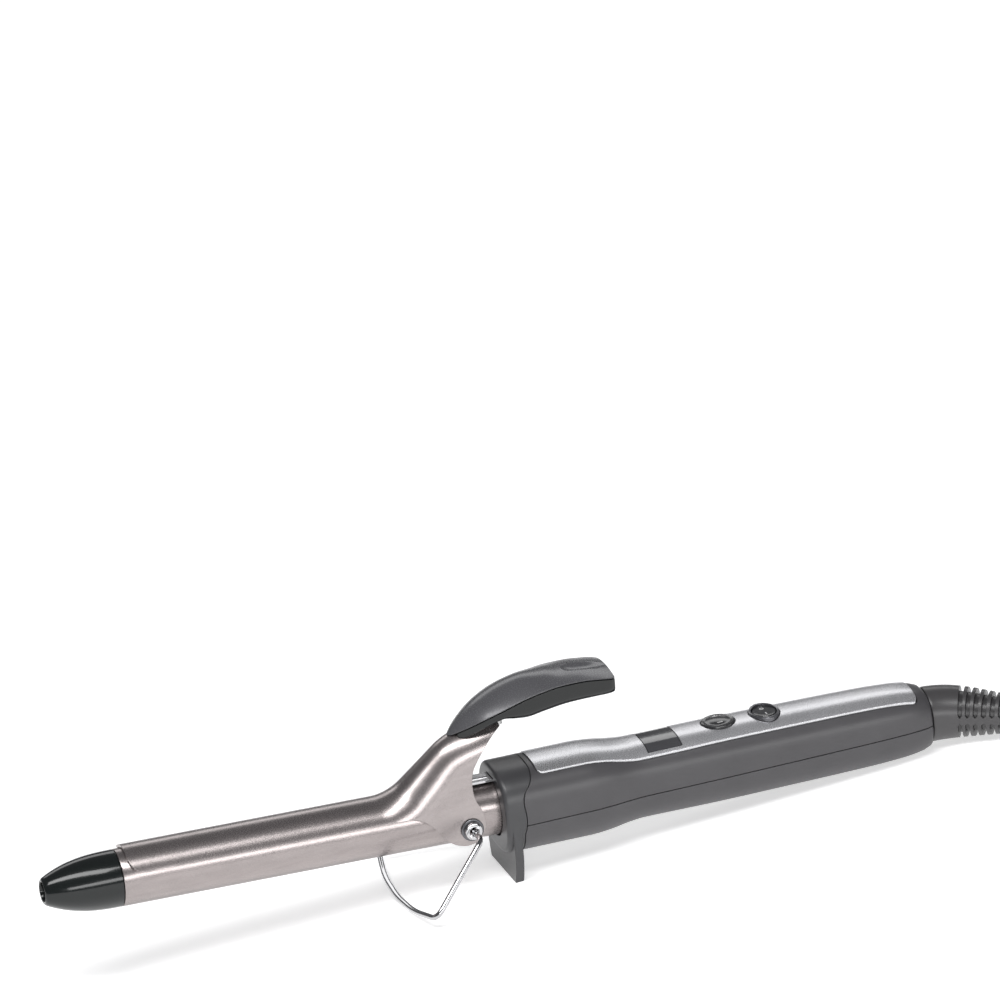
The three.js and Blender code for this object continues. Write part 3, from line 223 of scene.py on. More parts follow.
def drawn(start, steps):
    """An outline from a start point and steps: a point for a line, a pair of points for a curve."""
    points = [start]
    for step in steps:
        if isinstance(step[0], tuple):
            points += quad(points[-1], step[0], step[1])
        else:
            points.append(step)
    return points


def bake(obj):
    fresh = bpy.data.meshes.new_from_object(obj.evaluated_get(bpy.context.evaluated_depsgraph_get()))
    old, obj.data = obj.data, fresh
    obj.modifiers.clear()
    bpy.data.meshes.remove(old)
    return obj


def combine(obj, *others, kind="DIFFERENCE"):
    """Cuts, joins or crosses a piece with others, which are used up."""
    for other in others:
        step = obj.modifiers.new("step", "BOOLEAN")
        step.operation, step.solver, step.object = kind, "EXACT", other
        bake(obj)
        bpy.data.objects.remove(other)
    return obj


def joined(name, objects):
    """Several separate closed meshes as one."""
    verts, faces = [], []
    for o in objects:
        base = len(verts)
        verts += [tuple(v.co) for v in o.data.vertices]
        faces += [tuple(base + i for i in p.vertices) for p in o.data.polygons]
        bpy.data.objects.remove(o)
    return mesh_object(name, verts, faces)


def tube(name, points, radius, sides=16):
    """A round wire along points."""
    points = [Vector(p) for p in points]
    normal = Vector((0.31, 0.23, 0.92))
    rows = []
    for i, p in enumerate(points):
        t = (points[min(i + 1, len(points) - 1)] - points[max(i - 1, 0)]).normalized()
        normal = (normal - t * normal.dot(t)).normalized()
        across = t.cross(normal)
        angles = [TAU * k / sides for k in range(sides)]
        rows.append([p + normal * radius * math.cos(a) + across * radius * math.sin(a) for a in angles])
    return rings(name, rows)


def in_handle(obj):
    """Pieces of the handle are drawn straight, then tilted with its axis."""
    m = (Matrix.Translation((TILT_X, 0, AXIS_Z)) @ Matrix.Rotation(-TILT, 4, "Y")
         @ Matrix.Translation((-TILT_X, 0, 0)))
    obj.data.transform(m)
    return obj


# ---------------------------------------------------------------- finishes
COAT_ROUGHNESS, GRAIN_DEPTH = 0.06, 0.00004


class Nodes:
    """Short names for building a material's node tree."""

    def __init__(self, name):
        self.mat = bpy.data.materials.new(name)
        self.mat.use_nodes = True
        self.tree = self.mat.node_tree
        self.bsdf = self.tree.nodes["Principled BSDF"]

    def node(self, kind, **values):
        made = self.tree.nodes.new(kind)
        for key, value in values.items():
            setattr(made, key, value)
        return made

    def link(self, a, b):
        self.tree.links.new(a, b)

    def noise(self, scale, stretch=(1, 1, 1), detail=3.0):
        place = self.node("ShaderNodeTexCoord")
        warp = self.node("ShaderNodeMapping")
        warp.inputs["Scale"].default_value = stretch
        self.link(place.outputs["Object"], warp.inputs["Vector"])
        n = self.node("ShaderNodeTexNoise")
        n.inputs["Scale"].default_value = scale
        n.inputs["Detail"].default_value = detail
        self.link(warp.outputs["Vector"], n.inputs["Vector"])
        return n.outputs["Fac"]

    def ranged(self, source, low, high, start=0.3, end=0.7):
        r = self.node("ShaderNodeMapRange")
        for key, value in (("From Min", start), ("From Max", end), ("To Min", low), ("To Max", high)):
            r.inputs[key].default_value = value
        self.link(source, r.inputs["Value"])
        return r.outputs["Result"]

    def mixed(self, factor, a, b):
        m = self.node("ShaderNodeMix", data_type="RGBA")
        m.inputs["A"].default_value = (*a, 1)
        m.inputs["B"].default_value = (*b, 1)
        self.link(factor, m.inputs["Factor"])
        return m.outputs["Result"]


def finish_of(name, colour, rough, metal=0.0, coat=0.0, grain=2500, bump=0.0, shift=0.06,
              spread=0.04, cloud=90, stretch=(1, 1, 1), edge=0.0, specular=0.5):
    """A moulded, cast or drawn surface: cloudy colour, uneven gloss, fine grain and softened edges."""
    n = Nodes(name)
    cloudy = n.noise(cloud, stretch, 4.0)
    dark = tuple(c * (1 - shift) for c in colour)
    light = tuple(min(1.0, c * (1 + shift)) for c in colour)
    n.link(n.mixed(n.ranged(cloudy, 0, 1), dark, light), n.bsdf.inputs["Base Color"])
    fine = n.noise(grain, stretch, 2.0)
    n.link(n.ranged(fine, max(0.02, rough - spread), rough + spread), n.bsdf.inputs["Roughness"])
    n.bsdf.inputs["Metallic"].default_value = metal
    n.bsdf.inputs["Specular IOR Level"].default_value = specular
    if coat:
        n.bsdf.inputs["Coat Weight"].default_value = coat
        n.bsdf.inputs["Coat Roughness"].default_value = COAT_ROUGHNESS
    rounded = None
    if edge:
        rounded = n.node("ShaderNodeBevel", samples=4)
        rounded.inputs["Radius"].default_value = edge * 0.001
    if bump:
        b = n.node("ShaderNodeBump")
        b.inputs["Strength"].default_value = bump
        b.inputs["Distance"].default_value = GRAIN_DEPTH
        n.link(fine, b.inputs["Height"])
        if rounded:
            n.link(rounded.outputs["Normal"], b.inputs["Normal"])
        n.link(b.outputs["Normal"], n.bsdf.inputs["Normal"])
    elif rounded:
        n.link(rounded.outputs["Normal"], n.bsdf.inputs["Normal"])
    return n.mat


FINISHES = {
    "nose_plastic": finish_of("nose_plastic", (0.008, 0.01, 0.01), 0.16, coat=0.25, edge=0.2, specular=0.35),
    "titanium_coat": finish_of("titanium_coat", (0.34, 0.305, 0.3), 0.27, 0.92, grain=2600, bump=0.12,
                               stretch=(1, 5, 5), edge=0.15),
    "titanium_sheet": finish_of("titanium_sheet", (0.36, 0.325, 0.32), 0.27, 0.92, grain=2600, bump=0.12,
                                stretch=(1, 5, 5), edge=0.2),
    "core_aluminium": finish_of("core_aluminium", (0.6, 0.61, 0.62), 0.42, 0.95, stretch=(1, 6, 6), bump=0.3),
    "ceramic_white": finish_of("ceramic_white", (0.78, 0.75, 0.68), 0.6, bump=0.3),
    "inner_steel": finish_of("inner_steel", (0.5, 0.5, 0.5), 0.32, 1.0, bump=0.15),
    "bright_chrome": finish_of("bright_chrome", (0.55, 0.55, 0.56), 0.1, 1.0, shift=0.02, edge=0.12),
    "stand_chrome": finish_of("stand_chrome", (0.5, 0.5, 0.51), 0.08, 1.0, shift=0.02),
    "phenolic": finish_of("phenolic", (0.11, 0.05, 0.025), 0.55, bump=0.3),
    "gloss_black": finish_of("gloss_black", (0.004, 0.005, 0.005), 0.1, coat=0.3, edge=0.35, spread=0.02,
                             specular=0.35),
    "satin_grey": finish_of("satin_grey", (0.1, 0.1, 0.107), 0.26, 0.15, coat=0.1, bump=0.1, edge=0.35),
    "collar_grey": finish_of("collar_grey", (0.048, 0.048, 0.051), 0.36, bump=0.3, grain=4000, edge=0.4),
    "handle_grey": finish_of("handle_grey", (0.062, 0.06, 0.064), 0.38, bump=0.3, grain=4000, edge=0.3),
    "panel_silver": finish_of("panel_silver", (0.66, 0.66, 0.68), 0.28, 0.75, coat=0.1, grain=5000, bump=0.15,
                              edge=0.3),
    "window_smoke": finish_of("window_smoke", (0.06, 0.06, 0.065), 0.12, coat=0.5, spread=0.02, cloud=40),
    "button_grey": finish_of("button_grey", (0.028, 0.028, 0.03), 0.2, coat=0.3, edge=0.25),
    "board_green": finish_of("board_green", (0.015, 0.1, 0.04), 0.45, coat=0.3, bump=0.2),
    "lcd_grey": finish_of("lcd_grey", (0.27, 0.3, 0.25), 0.2, coat=0.6),
    "component_black": finish_of("component_black", (0.016, 0.016, 0.016), 0.5, bump=0.35),
    "boot_rubber": finish_of("boot_rubber", (0.058, 0.056, 0.058), 0.32, bump=0.2, grain=3000, edge=0.25),
    "contact_brass": finish_of("contact_brass", (0.7, 0.4, 0.22), 0.3, 1.0),
    "lead_red": finish_of("lead_red", (0.35, 0.015, 0.015), 0.45, bump=0.1),
    "lead_white": finish_of("lead_white", (0.75, 0.75, 0.72), 0.45, bump=0.1),
}
SHARP_ANGLE = math.radians(32)
MARK_WHITE = finish_of("mark_white", (0.7, 0.7, 0.7), 0.4)
BEZEL_GREY = finish_of("bezel_grey", (0.12, 0.12, 0.13), 0.2, 0.6, coat=0.3, edge=0.2)

slot_of = {part["node"]: part["material_slot"] for part in frame["record"]["subparts"]}


def dress(obj, finish):
    obj.data.materials.clear()
    obj.data.materials.append(finish)
    obj.data.shade_smooth()
    obj.data.set_sharp_from_angle(angle=SHARP_ANGLE)


def settle(obj, body, slot, *nodes, finish=None):
    """Puts a drawn piece in its place in the frame, on its body, for its CAD nodes."""
    obj.data.transform(TOOL)
    dress(obj, finish or FINISHES[slot])
    if nodes:
        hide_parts(*nodes)
    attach(obj, body)


# ---------------------------------------------------------------- nose and barrel
def nose():
    outer = [(0.0, NOSE_RIM - 0.55), (0.12, NOSE_RIM - 0.2), (0.4, NOSE_RIM + 0.12)]
    for x in spaced(0.8, NOSE_LENGTH, 26):
        outer.append((x, NOSE_RIM + (BARREL_R - NOSE_RIM) * (1 - (1 - x / NOSE_LENGTH) ** NOSE_FULLNESS)))
    spigot = BARREL_R - BARREL_WALL - GAP
    inner = [(NOSE_LENGTH, spigot), (NOSE_LENGTH + SPIGOT_LENGTH, spigot),
             (NOSE_LENGTH + SPIGOT_LENGTH, SPIGOT_BORE), (NOSE_LENGTH - 6, SPIGOT_BORE),
             (NOSE_LENGTH - 9, NOSE_BORE), (0.5, NOSE_BORE), (0.12, NOSE_BORE + 0.15)]
    return ring_x("nose_cap_piece", outer + inner)


def barrel():
    f, r, i = NOSE_LENGTH + GAP, BARREL_R, BARREL_R - BARREL_WALL
    outer = [(f, r - 0.25), (f + 0.1, r - 0.08), (f + 0.3, r)]
    outer += [(x, r) for x in spaced(f + 5, BARREL_REAR, 30)]
    return ring_x("barrel_tube_piece", outer + [(BARREL_REAR, i), (f, i)], 128)


# ---------------------------------------------------------------- clip
def clip_stations():
    """The centre line of the pressed sheet: x, z, slope."""
    start = ARM_CORNER - ARM_BEND * math.tan(ARM_SLOPE / 2)
    stations = [(x, 0.0, 0.0) for x in spaced(CLIP_FRONT, start - 2, 20)]
    for a in spaced(0, ARM_SLOPE, 20):
        stations.append((start + ARM_BEND * math.sin(a), ARM_BEND * (1 - math.cos(a)), a))
    seat_z = (SEAT_X - ARM_CORNER) * math.tan(ARM_SLOPE)
    cx, cz = SEAT_X + SEAT_BEND * math.sin(ARM_SLOPE), seat_z - SEAT_BEND * math.cos(ARM_SLOPE)
    last = stations[-1]
    first = (cx - SEAT_BEND * math.sin(ARM_SLOPE), cz + SEAT_BEND * math.cos(ARM_SLOPE))
    for t in spaced(0, 1, 8)[1:-1]:
        stations.append((last[0] + (first[0] - last[0]) * t, last[1] + (first[1] - last[1]) * t, ARM_SLOPE))
    for a in spaced(ARM_SLOPE, SEAT_SLOPE, 14):
        stations.append((cx - SEAT_BEND * math.sin(a), cz + SEAT_BEND * math.cos(a), a))
    x, z, a = stations[-1]
    for t in spaced(0, SEAT_LENGTH, 4)[1:]:
        stations.append((x + t * math.cos(SEAT_SLOPE), z + t * math.sin(SEAT_SLOPE), SEAT_SLOPE))
    return stations


def arm_width(x):
    return 1 + (ARM_TAPER - 1) * smooth(clamp01((x - ARM_CORNER) / (SEAT_X - ARM_CORNER)))


def clip_section(station, radius, drop):
    """One cross-section of the sheet's inner or outer face, cheek foot to cheek foot."""
    x, z, a = station
    width = arm_width(x)
    arc = []
    for t in spaced(-math.pi / 2, math.pi / 2, 40):
        up = radius * math.cos(t)
        arc.append((x - up * math.sin(a), radius * math.sin(t) * width, z + up * math.cos(a)))
    upright = min(z - 0.5, PIVOT_Z + 6)
    left, right = [], []
    for share in spaced(0, 1, 8)[1:]:
        height = z + (drop - z) * share
        lean = 1 + (width - 1) * clamp01((height - upright) / max(0.5, z - upright))
        left.insert(0, (x, -radius * lean, height))
        right.append((x, radius * lean, height))
    return left + arc + right


def clip_outline():
    edge, px, pz, ear = EAR_IN * math.cos(CLIP_WRAP), PIVOT_X, PIVOT_Z, 5.4
    f = CLIP_FRONT
    return drawn((f - 1, 30), [
        (f - 1, edge + 4), (f + 0.3, edge + 4), ((f + 0.8, edge + 0.5), (f + 6, edge)),
        (ARM_CORNER + 0.5, edge + 0.6), ((ARM_CORNER + 6.5, edge - 0.6), (ARM_CORNER + 9.5, pz + 0.2)),
        ((px - ear - 2, pz - ear + 0.6), (px - 2.2, pz - ear)), ((px + 2.2, pz - ear), (px + 4.2, pz - 1.6)),
        ((px + 6.2, pz + 2.4), (px + 2.4, pz + 9)), ((px + 0.6, pz + 14), (px + 2.7, pz + 20)),
        ((px + 7, pz + 27.5), (px + 13.6, pz + 32)), (px + 22, pz + 33.5), (px + 22, pz + 60),
        (f + 60, 60)])


def clip_channel(name, inner, outer, drop=-12.5):
    """The sheet between two radii, or a filled channel where inner is None."""
    rows = []
    for s in clip_stations():
        face = clip_section(s, outer, drop)
        back = [(s[0], 0, drop)] if inner is None else list(reversed(clip_section(s, inner, drop)))
        rows.append(face + back)
    return rings(name, rows)


def clip():
    sheet = clip_channel("clip_spoon_piece", EAR_IN, EAR_OUT)
    return combine(sheet, prism("outline", clip_outline(), -14, 14, "Y"), kind="INTERSECT")


# ---------------------------------------------------------------- lever
def lever_width(x):
    nose_share, tail = clamp01((x - LEVER_FRONT) / 20), clamp01((LEVER_REAR - x) / 4)
    rounding = 0.9 + 0.1 * math.sqrt(1 - (1 - tail) ** 2)
    return LEVER_HALF * max(0.03, (1 - (1 - nose_share) ** 1.9) ** 0.72) * rounding


def lever_stations():
    return [LEVER_FRONT + (LEVER_REAR - LEVER_FRONT) * (i / 56) ** 1.25 for i in range(57)]


def lever_cover():
    rows = []
    for x in lever_stations():
        w, edge, dome = lever_width(x), profile(LEVER_EDGE, x), profile(LEVER_DOME, x)
        low = [(x, w * s, edge + GAP / 2) for s in spaced(-0.985, 0.985, 10)]
        high = []
        for t in spaced(math.pi / 2, -math.pi / 2, 36):
            side = math.sin(t)
            high.append((x, w * side, edge + 0.5 + dome * (1 - side ** 2)))
        rows.append(low + high)
    cover = rings("lever_cover_piece", rows)
    scoop_points = [(178, 0.02), (178.2, 2.6), (178.8, 5), (181, 6.5), (184, 7.1), (189, 7.4),
                    (LEVER_REAR + 6, 7.5)]
    scoop = rings("scoop", [[(x, r * math.cos(TAU * k / 72),
                              profile(LEVER_EDGE, LEVER_REAR) + 8.9 + r * math.sin(TAU * k / 72))
                             for k in range(72)] for x, r in scoop_points])
    return combine(cover, clip_channel("arm", None, EAR_OUT + GAP), scoop)


def lever_shell():
    rows = []
    for x in [x for x in lever_stations() if x >= SHELL_FRONT]:
        w, edge, low = lever_width(x), profile(LEVER_EDGE, x) - GAP / 2, profile(LEVER_BOTTOM, x)
        h = edge - low
        under = []
        for t in spaced(0, math.pi, 44):
            c, s = math.cos(t), math.sin(t)
            under.append((x, w * math.copysign(abs(c) ** 0.36, c), edge - h * s ** 0.5 if s > 1e-6 else edge))
        top = [(x, w * s, edge) for s in spaced(-0.96, 0.96, 8)]
        rows.append(under + top)
    shell = rings("lever_shell_piece", rows)
    pocket = block("pocket", 166, LEVER_REAR - 4.5, -6.5, 6.5, 35, 45)
    return combine(shell, clip_channel("arm", None, EAR_OUT + GAP), pocket)


# ---------------------------------------------------------------- spring, hinge screws, stand
def clip_spring():
    pitch = 2 * SPRING_WIRE + GAP
    width = pitch * SPRING_TURNS
    plate_rear = 163
    leg_z = SPRING_Z - SPRING_R
    points = [(x, -width / 2, leg_z) for x in spaced(plate_rear - 12, SPRING_X + 1.5, 6)]
    turns = SPRING_TURNS + 0.25
    for t in spaced(0, turns, int(turns * 28)):
        a = -math.pi / 2 - t * TAU
        points.append((SPRING_X + SPRING_R * math.cos(a), -width / 2 + pitch * t,
                       SPRING_Z + SPRING_R * math.sin(a)))
    y = -width / 2 + pitch * turns
    points += [(SPRING_X - SPRING_R, y, SPRING_Z + rise) for rise in (1.5, 3, 6, 9)]
    return tube("clip_spring_piece", points, SPRING_WIRE, 12)


def pivot_screw(side, name):
    inside = EAR_OUT + 2 * GAP + 0.5
    out = inside + 1.4
    bore = STAND_WIRE + GAP
    points = [(4.5, bore), (4.5, 2), (inside, 2), (inside, 2.8), (inside + 0.2, 3), (out - 0.6, 3),
              (out - 0.2, 2.75), (out, 2.3), (out, bore + 0.4), (out - 0.5, bore)]
    screw = ring_y(name, [(side * y, r) for y, r in points], PIVOT_X, PIVOT_Z)
    for k in range(2):
        arm = block("slot", -2.3, 2.3, -0.6, 0.6, -0.35, 0.35)
        arm.data.transform(Matrix.Translation((PIVOT_X, side * out, PIVOT_Z))
                           @ Matrix.Rotation(k * math.pi / 2 + math.pi / 4, 4, "Y"))
        combine(screw, arm)
    return screw


def pivot_washer(side, name):
    a, b = EAR_OUT + GAP, EAR_OUT + GAP + 0.5
    points = [(a, 2.3), (a, 3.7), (a + 0.1, 3.8), (b - 0.15, 3.8), (b, 3.65), (b, 2.3)]
    return ring_y(name, [(side * y, r) for y, r in points], PIVOT_X, PIVOT_Z)


def stand():
    def place(along, y):
        return Vector((PIVOT_X + along.x, y, PIVOT_Z + along.y))

    reach = STAND_REACH.length
    bow = STAND_REACH * ((reach + STAND_BOW) / reach)
    flank = STAND_REACH * ((reach + STAND_BOW * 0.8) / reach)
    centre = Vector((0, 0))
    near, far = [[(place(centre, s * STAND_STUB), 0), (place(centre, s * STAND_SHOULDER), 3),
                  (place(STAND_REACH, s * STAND_HALF), 4), (place(flank, s * STAND_HALF * 0.5), 6)]
                 for s in (-1, 1)]
    corners = near + [(place(bow, 0), 5)] + far[::-1]
    points = []
    for i, (at, bend) in enumerate(corners):
        if not bend:
            points.append(at)
            continue
        a = at + (corners[i - 1][0] - at).normalized() * bend
        b = at + (corners[i + 1][0] - at).normalized() * bend
        points += [a * (1 - t) ** 2 + at * 2 * t * (1 - t) + b * t * t for t in spaced(0, 1, 12)]
    return tube("stand_wire_piece", points, STAND_WIRE, 20)


# ---------------------------------------------------------------- handle
def handle_ring(x, grow, segments=112):
    h = profile(HANDLE_HEIGHTS, x)
    height, width, e = h + grow, h * BROADNESS + grow, 2 / SQUARENESS
    row = []
    for k in range(segments):
        c, s = math.cos(TAU * (k + 0.5) / segments), math.sin(TAU * (k + 0.5) / segments)
        row.append((x, width * math.copysign(abs(c) ** e, c), height * math.copysign(abs(s) ** e, s)))
    return row


def handle_solid(name, grow=0.0, front=150.0, rear=HANDLE_REAR, front_edge=0.0, rear_edge=0.0):
    """The handle's outer form, grown outwards, with rounded ends where an edge is given."""
    rows = []
    if front_edge:
        for a in spaced(0, math.pi / 2, 8)[:-1]:
            rows.append(handle_ring(front + front_edge * (1 - math.cos(a)),
                                    grow - front_edge * (1 - math.sin(a))))
    count = max(2, int((rear - front) / 2.2))
    rows += [handle_ring(x, grow) for x in spaced(front + front_edge, rear - rear_edge, count)]
    if rear_edge:
        for a in spaced(0, math.pi / 2, 6)[1:]:
            rows.append(handle_ring(rear - rear_edge * (1 - math.sin(a)),
                                    grow - rear_edge * (1 - math.cos(a))))
    return in_handle(rings(name, rows))


def front_of_seam(shift):
    s = SEAM_X + shift
    outline = drawn((140, 30), [
        (s + 4.6, 30), (s + 4.4, 13.5), ((s + 3.6, 10.5), (s + 1.2, 8.6)), ((s - 0.9, 6.5), (s, 2)),
        ((s + 0.7, -2.5), (s - 0.7, -6)), (s - 0.8, -30), (140, -30)])
    return prism("seam", outline, -30, 30, "Y")


def table_height(x):
    """Height of the table under a station of the barrel, from the frame's own ground."""
    ground = TOOL.inverted() @ Vector((0, 0, 0))
    return ground.z + (x - ground.x) * math.tan(PITCH)


def collar():
    body = handle_solid("collar_piece", 0, COLLAR_FRONT, 172, front_edge=COLLAR_EDGE)
    combine(body, front_of_seam(-GAP / 2), kind="INTERSECT")
    combine(body, handle_solid("hollow", -WALL, COLLAR_FRONT + 3.4, 175))
    low = table_height(FOOT_FRONT + FOOT_THICK / 2)
    side = drawn((FOOT_HALF, low - 3), [
        (FOOT_HALF, low), ((SHOULDER_HALF - 0.4, SHOULDER_Z - 0.8), (SHOULDER_HALF, SHOULDER_Z + 3)),
        (SHOULDER_HALF - 0.3, -3)])
    outline = side + [(-y, z) for y, z in reversed(side)]
    combine(body, prism("foot", outline, FOOT_FRONT, FOOT_FRONT + FOOT_THICK, "X"), kind="UNION")
    table = prism("table", [(100, table_height(100)), (200, table_height(200)), (200, -60), (100, -60)],
                  -40, 40, "Y")
    bore = ring_solid("bore", [(140, BARREL_R + 0.6), (190, BARREL_R + 0.6)])
    plate_slot = block("slot", COLLAR_FRONT - 5, 164, -3.7, 3.7, 5, BARREL_R + GAP + 0.8 + GAP)
    return combine(body, table, bore, plate_slot)


def ring_solid(name, points, segments=96):
    """A capped solid of revolution about X from open (station, radius) points."""
    return rings(name, [[(x, r * math.cos(TAU * k / segments), r * math.sin(TAU * k / segments))
                         for k in range(segments)] for x, r in points])


def panel_outline(grow=0.0):
    r, a, b = PANEL_CORNER + grow, PANEL_FRONT - grow, PANEL_REAR + grow
    wide, narrow = PANEL_HALF + grow, PANEL_REAR_HALF + grow
    return drawn((a + r, -wide), [
        (WINDOW_REAR, -wide), (b - r, -narrow), ((b, -narrow), (b, -narrow + r)), (b, narrow - r),
        ((b, narrow), (b - r, narrow)), (WINDOW_REAR, wide), (a + r, wide), ((a, wide), (a, wide - r)),
        (a, -wide + r), ((a, -wide), (a + r - 0.01, -wide))])


def leaf(half_x, half_y, steps=64):
    points = []
    for i in range(steps):
        t = TAU * (i + 0.5) / steps
        s = math.sin(t)
        points.append((half_x * math.cos(t), half_y * math.copysign(abs(s) ** 1.15, s)))
    return points


def leaf_prism(name, half_x, half_y, z0, z1):
    return prism(name, [(POWER_X + x, y) for x, y in leaf(half_x, half_y)], z0, z1, "Z")


def leaf_dome(name, half_x, half_y, levels):
    """A leaf-shaped cap from (inset, height) levels."""
    return rings(name, [[(POWER_X + x, y, z) for x, y in leaf(half_x - inset, half_y - inset * 1.3)]
                        for inset, z in levels])


def parting(x):
    return PARTING_FALL + PARTING_SLOPE * (x - TILT_X)


def parting_side(above):
    """Everything above the shells' parting line, or below it."""
    shift = GAP / 2 if above else -GAP / 2
    far = 60 if above else -60
    outline = [(140, parting(140) + shift), (320, parting(320) + shift), (320, far), (140, far)]
    return in_handle(prism("side", outline, -40, 40, "Y"))


def handle_shell(name, above):
    shell = handle_solid(name, 0, 157, rear_edge=0.9)
    combine(shell, handle_solid("cavity", -WALL, 150, HANDLE_REAR - TAIL_WALL))
    combine(shell, parting_side(above), kind="INTERSECT")
    neck = in_handle(ring_solid("neck", [(290, BOOT_NECK + GAP), (310, BOOT_NECK + GAP)], 48))
    combine(shell, front_of_seam(GAP / 2), neck)
    if above:
        recess = in_handle(prism("recess", panel_outline(GAP), 0, 30, "Z"))
        combine(recess, handle_solid("floor", -PANEL_THICK - GAP))
        combine(shell, recess,
                in_handle(block("view", WINDOW_FRONT + 1.2, WINDOW_REAR - 1.2, -6.4, 6.4, 0, 30)),
                in_handle(dome_z("hole", [(ROCKER_R + GAP, 0), (ROCKER_R + GAP, 30)], ROCKER_X)),
                in_handle(leaf_prism("hole", POWER_HALF_X + GAP, POWER_HALF_Y + GAP, 0, 30)))
    return shell


def skin(name, outline, depth, proud):
    """The part of the handle's skin inside a plan outline."""
    region = in_handle(prism(name, outline, 3, 30, "Z"))
    combine(region, handle_solid("outer", proud, rear=HANDLE_REAR - 0.1), kind="INTERSECT")
    return combine(region, handle_solid("inner", -depth))


def top_panel():
    panel = skin("top_panel_piece", panel_outline(), PANEL_THICK, PANEL_PROUD)
    return combine(
        panel,
        in_handle(block("view", WINDOW_FRONT, WINDOW_REAR, -WINDOW_HALF, WINDOW_HALF, 0, 30)),
        in_handle(dome_z("hole", [(ROCKER_R + GAP, 0), (ROCKER_R + GAP, 30)], ROCKER_X)),
        in_handle(leaf_prism("hole", POWER_HALF_X, POWER_HALF_Y, 0, 30)))


def window():
    a, b, h, r = WINDOW_FRONT + GAP, WINDOW_REAR - GAP, WINDOW_HALF - GAP, 0.6
    outline = drawn((a + r, -h), [
        (b - r, -h), ((b, -h), (b, -h + r)), (b, h - r), ((b, h), (b - r, h)),
        (a + r, h), ((a, h), (a, h - r)), (a, -h + r), ((a, -h), (a + r - 0.01, -h))])
    return skin("display_window_piece", outline, PANEL_THICK, PANEL_PROUD - 0.1)


# ---------------------------------------------------------------- boot
def turned(share):
    return 1 - (1 - clamp01(share * 2.2)) ** 2


def boot_station(t):
    """Centre, directions and radius of the boot, from 0 at the handle to 1 at its open end."""
    steps = 24
    at = Vector((HANDLE_REAR + GAP, 0, 0))
    for i in range(steps):
        share = clamp01(steps * t - i)
        bend = turned((i + 0.5) / steps)
        step = BOOT_LENGTH * share / steps
        yaw, droop = BOOT_YAW * bend, BOOT_DROOP * bend
        at += Vector((math.cos(yaw), math.sin(yaw), math.sin(droop))) * step
    yaw, droop = BOOT_YAW * turned(t), BOOT_DROOP * turned(t)
    across = Vector((-math.sin(yaw), math.cos(yaw), 0))
    along = Vector((math.cos(yaw) * math.cos(droop), math.sin(yaw), math.sin(droop))).normalized()
    radius = BOOT_END_R + (BOOT_R - BOOT_END_R) * (1 - smooth(clamp01(t * 1.05))) ** 0.9
    return at, across, along.cross(across), radius


def boot_ring(t, radius, segments=72):
    at, across, up, full = boot_station(t)
    r = full + radius if radius <= 0 else radius
    return [at + across * r * math.cos(TAU * k / segments) + up * r * math.sin(TAU * k / segments)
            for k in range(segments)]


def straight_ring(x, r, segments=72):
    return [(x, r * math.cos(TAU * k / segments), r * math.sin(TAU * k / segments)) for k in range(segments)]


def boot():
    flange_rear = HANDLE_REAR - TAIL_WALL - GAP
    flange_front = flange_rear + GAP - 5
    rows = [straight_ring(flange_front, BOOT_BORE), straight_ring(flange_front, BOOT_FLANGE),
            straight_ring(flange_rear, BOOT_FLANGE), straight_ring(flange_rear, BOOT_NECK),
            straight_ring(HANDLE_REAR + GAP, BOOT_NECK)]
    rows += [boot_ring(0.0, -0.5), boot_ring(0.004, -0.15), boot_ring(0.012, 0)]
    rows += [boot_ring(t, 0) for t in spaced(0.03, 0.985, 60)]
    rows += [boot_ring(0.994, -0.12), boot_ring(1, -0.4), boot_ring(1, BOOT_BORE)]
    rows += [boot_ring(t, BOOT_BORE) for t in spaced(0.97, 0.01, 24)]
    body = rings("strain_relief_boot_piece", rows, loop=True)
    pockets = []
    for k in range(SLOT_COUNT):
        middle = (SLOT_START + k * SLOT_PITCH) / BOOT_LENGTH
        for side in (1, -1):
            r = boot_station(middle)[3]
            reach = math.pi / 2 - math.asin(min(0.9, 0.95 / r))
            rows = []
            for a in spaced(-reach, reach, 28):
                end = 1 - clamp01((reach - abs(a)) * r / (SLOT_WIDTH * 0.5))
                half = SLOT_WIDTH / 2 / BOOT_LENGTH * max(0.12, math.sqrt(1 - end * end))
                row = []
                before, after = middle - half, middle + half
                for t, top in ((before, 0), (before, 1), (after, 1), (after, 0)):
                    at, across, up, full = boot_station(t)
                    radius = full + 1.5 if top else max(full - SLOT_DEPTH, BOOT_BORE + 0.5)
                    angle = side * (math.pi / 2 + a)
                    row.append(at + across * radius * math.cos(angle) + up * radius * math.sin(angle))
                rows.append(row)
            pockets.append(rings("pocket", rows))
    return in_handle(combine(body, joined("pockets", pockets)))


# ---------------------------------------------------------------- build the shown pieces
settle(nose(), "iron", "nose_plastic", "nose_cap")
settle(barrel(), "iron", "titanium_coat", "barrel_tube")
settle(clip(), "clip", "titanium_sheet", "clip_spoon")
settle(lever_cover(), "clip", "satin_grey", "lever_cover")
settle(lever_shell(), "clip", "gloss_black", "lever_shell")
settle(clip_spring(), "iron", "bright_chrome", "clip_spring")
for side, word in ((-1, "left"), (1, "right")):
    settle(pivot_screw(side, f"pivot_screw_{word}_piece"), "iron", "bright_chrome", f"pivot_screw_{word}")
    settle(pivot_washer(side, f"pivot_washer_{word}_piece"), "iron", "bright_chrome", f"pivot_washer_{word}",
           finish=BEZEL_GREY)
settle(stand(), "stand", "stand_chrome", "stand_wire")
settle(collar(), "iron", "collar_grey", "collar")
settle(handle_shell("handle_upper_shell_piece", True), "iron", "handle_grey", "handle_upper_shell")
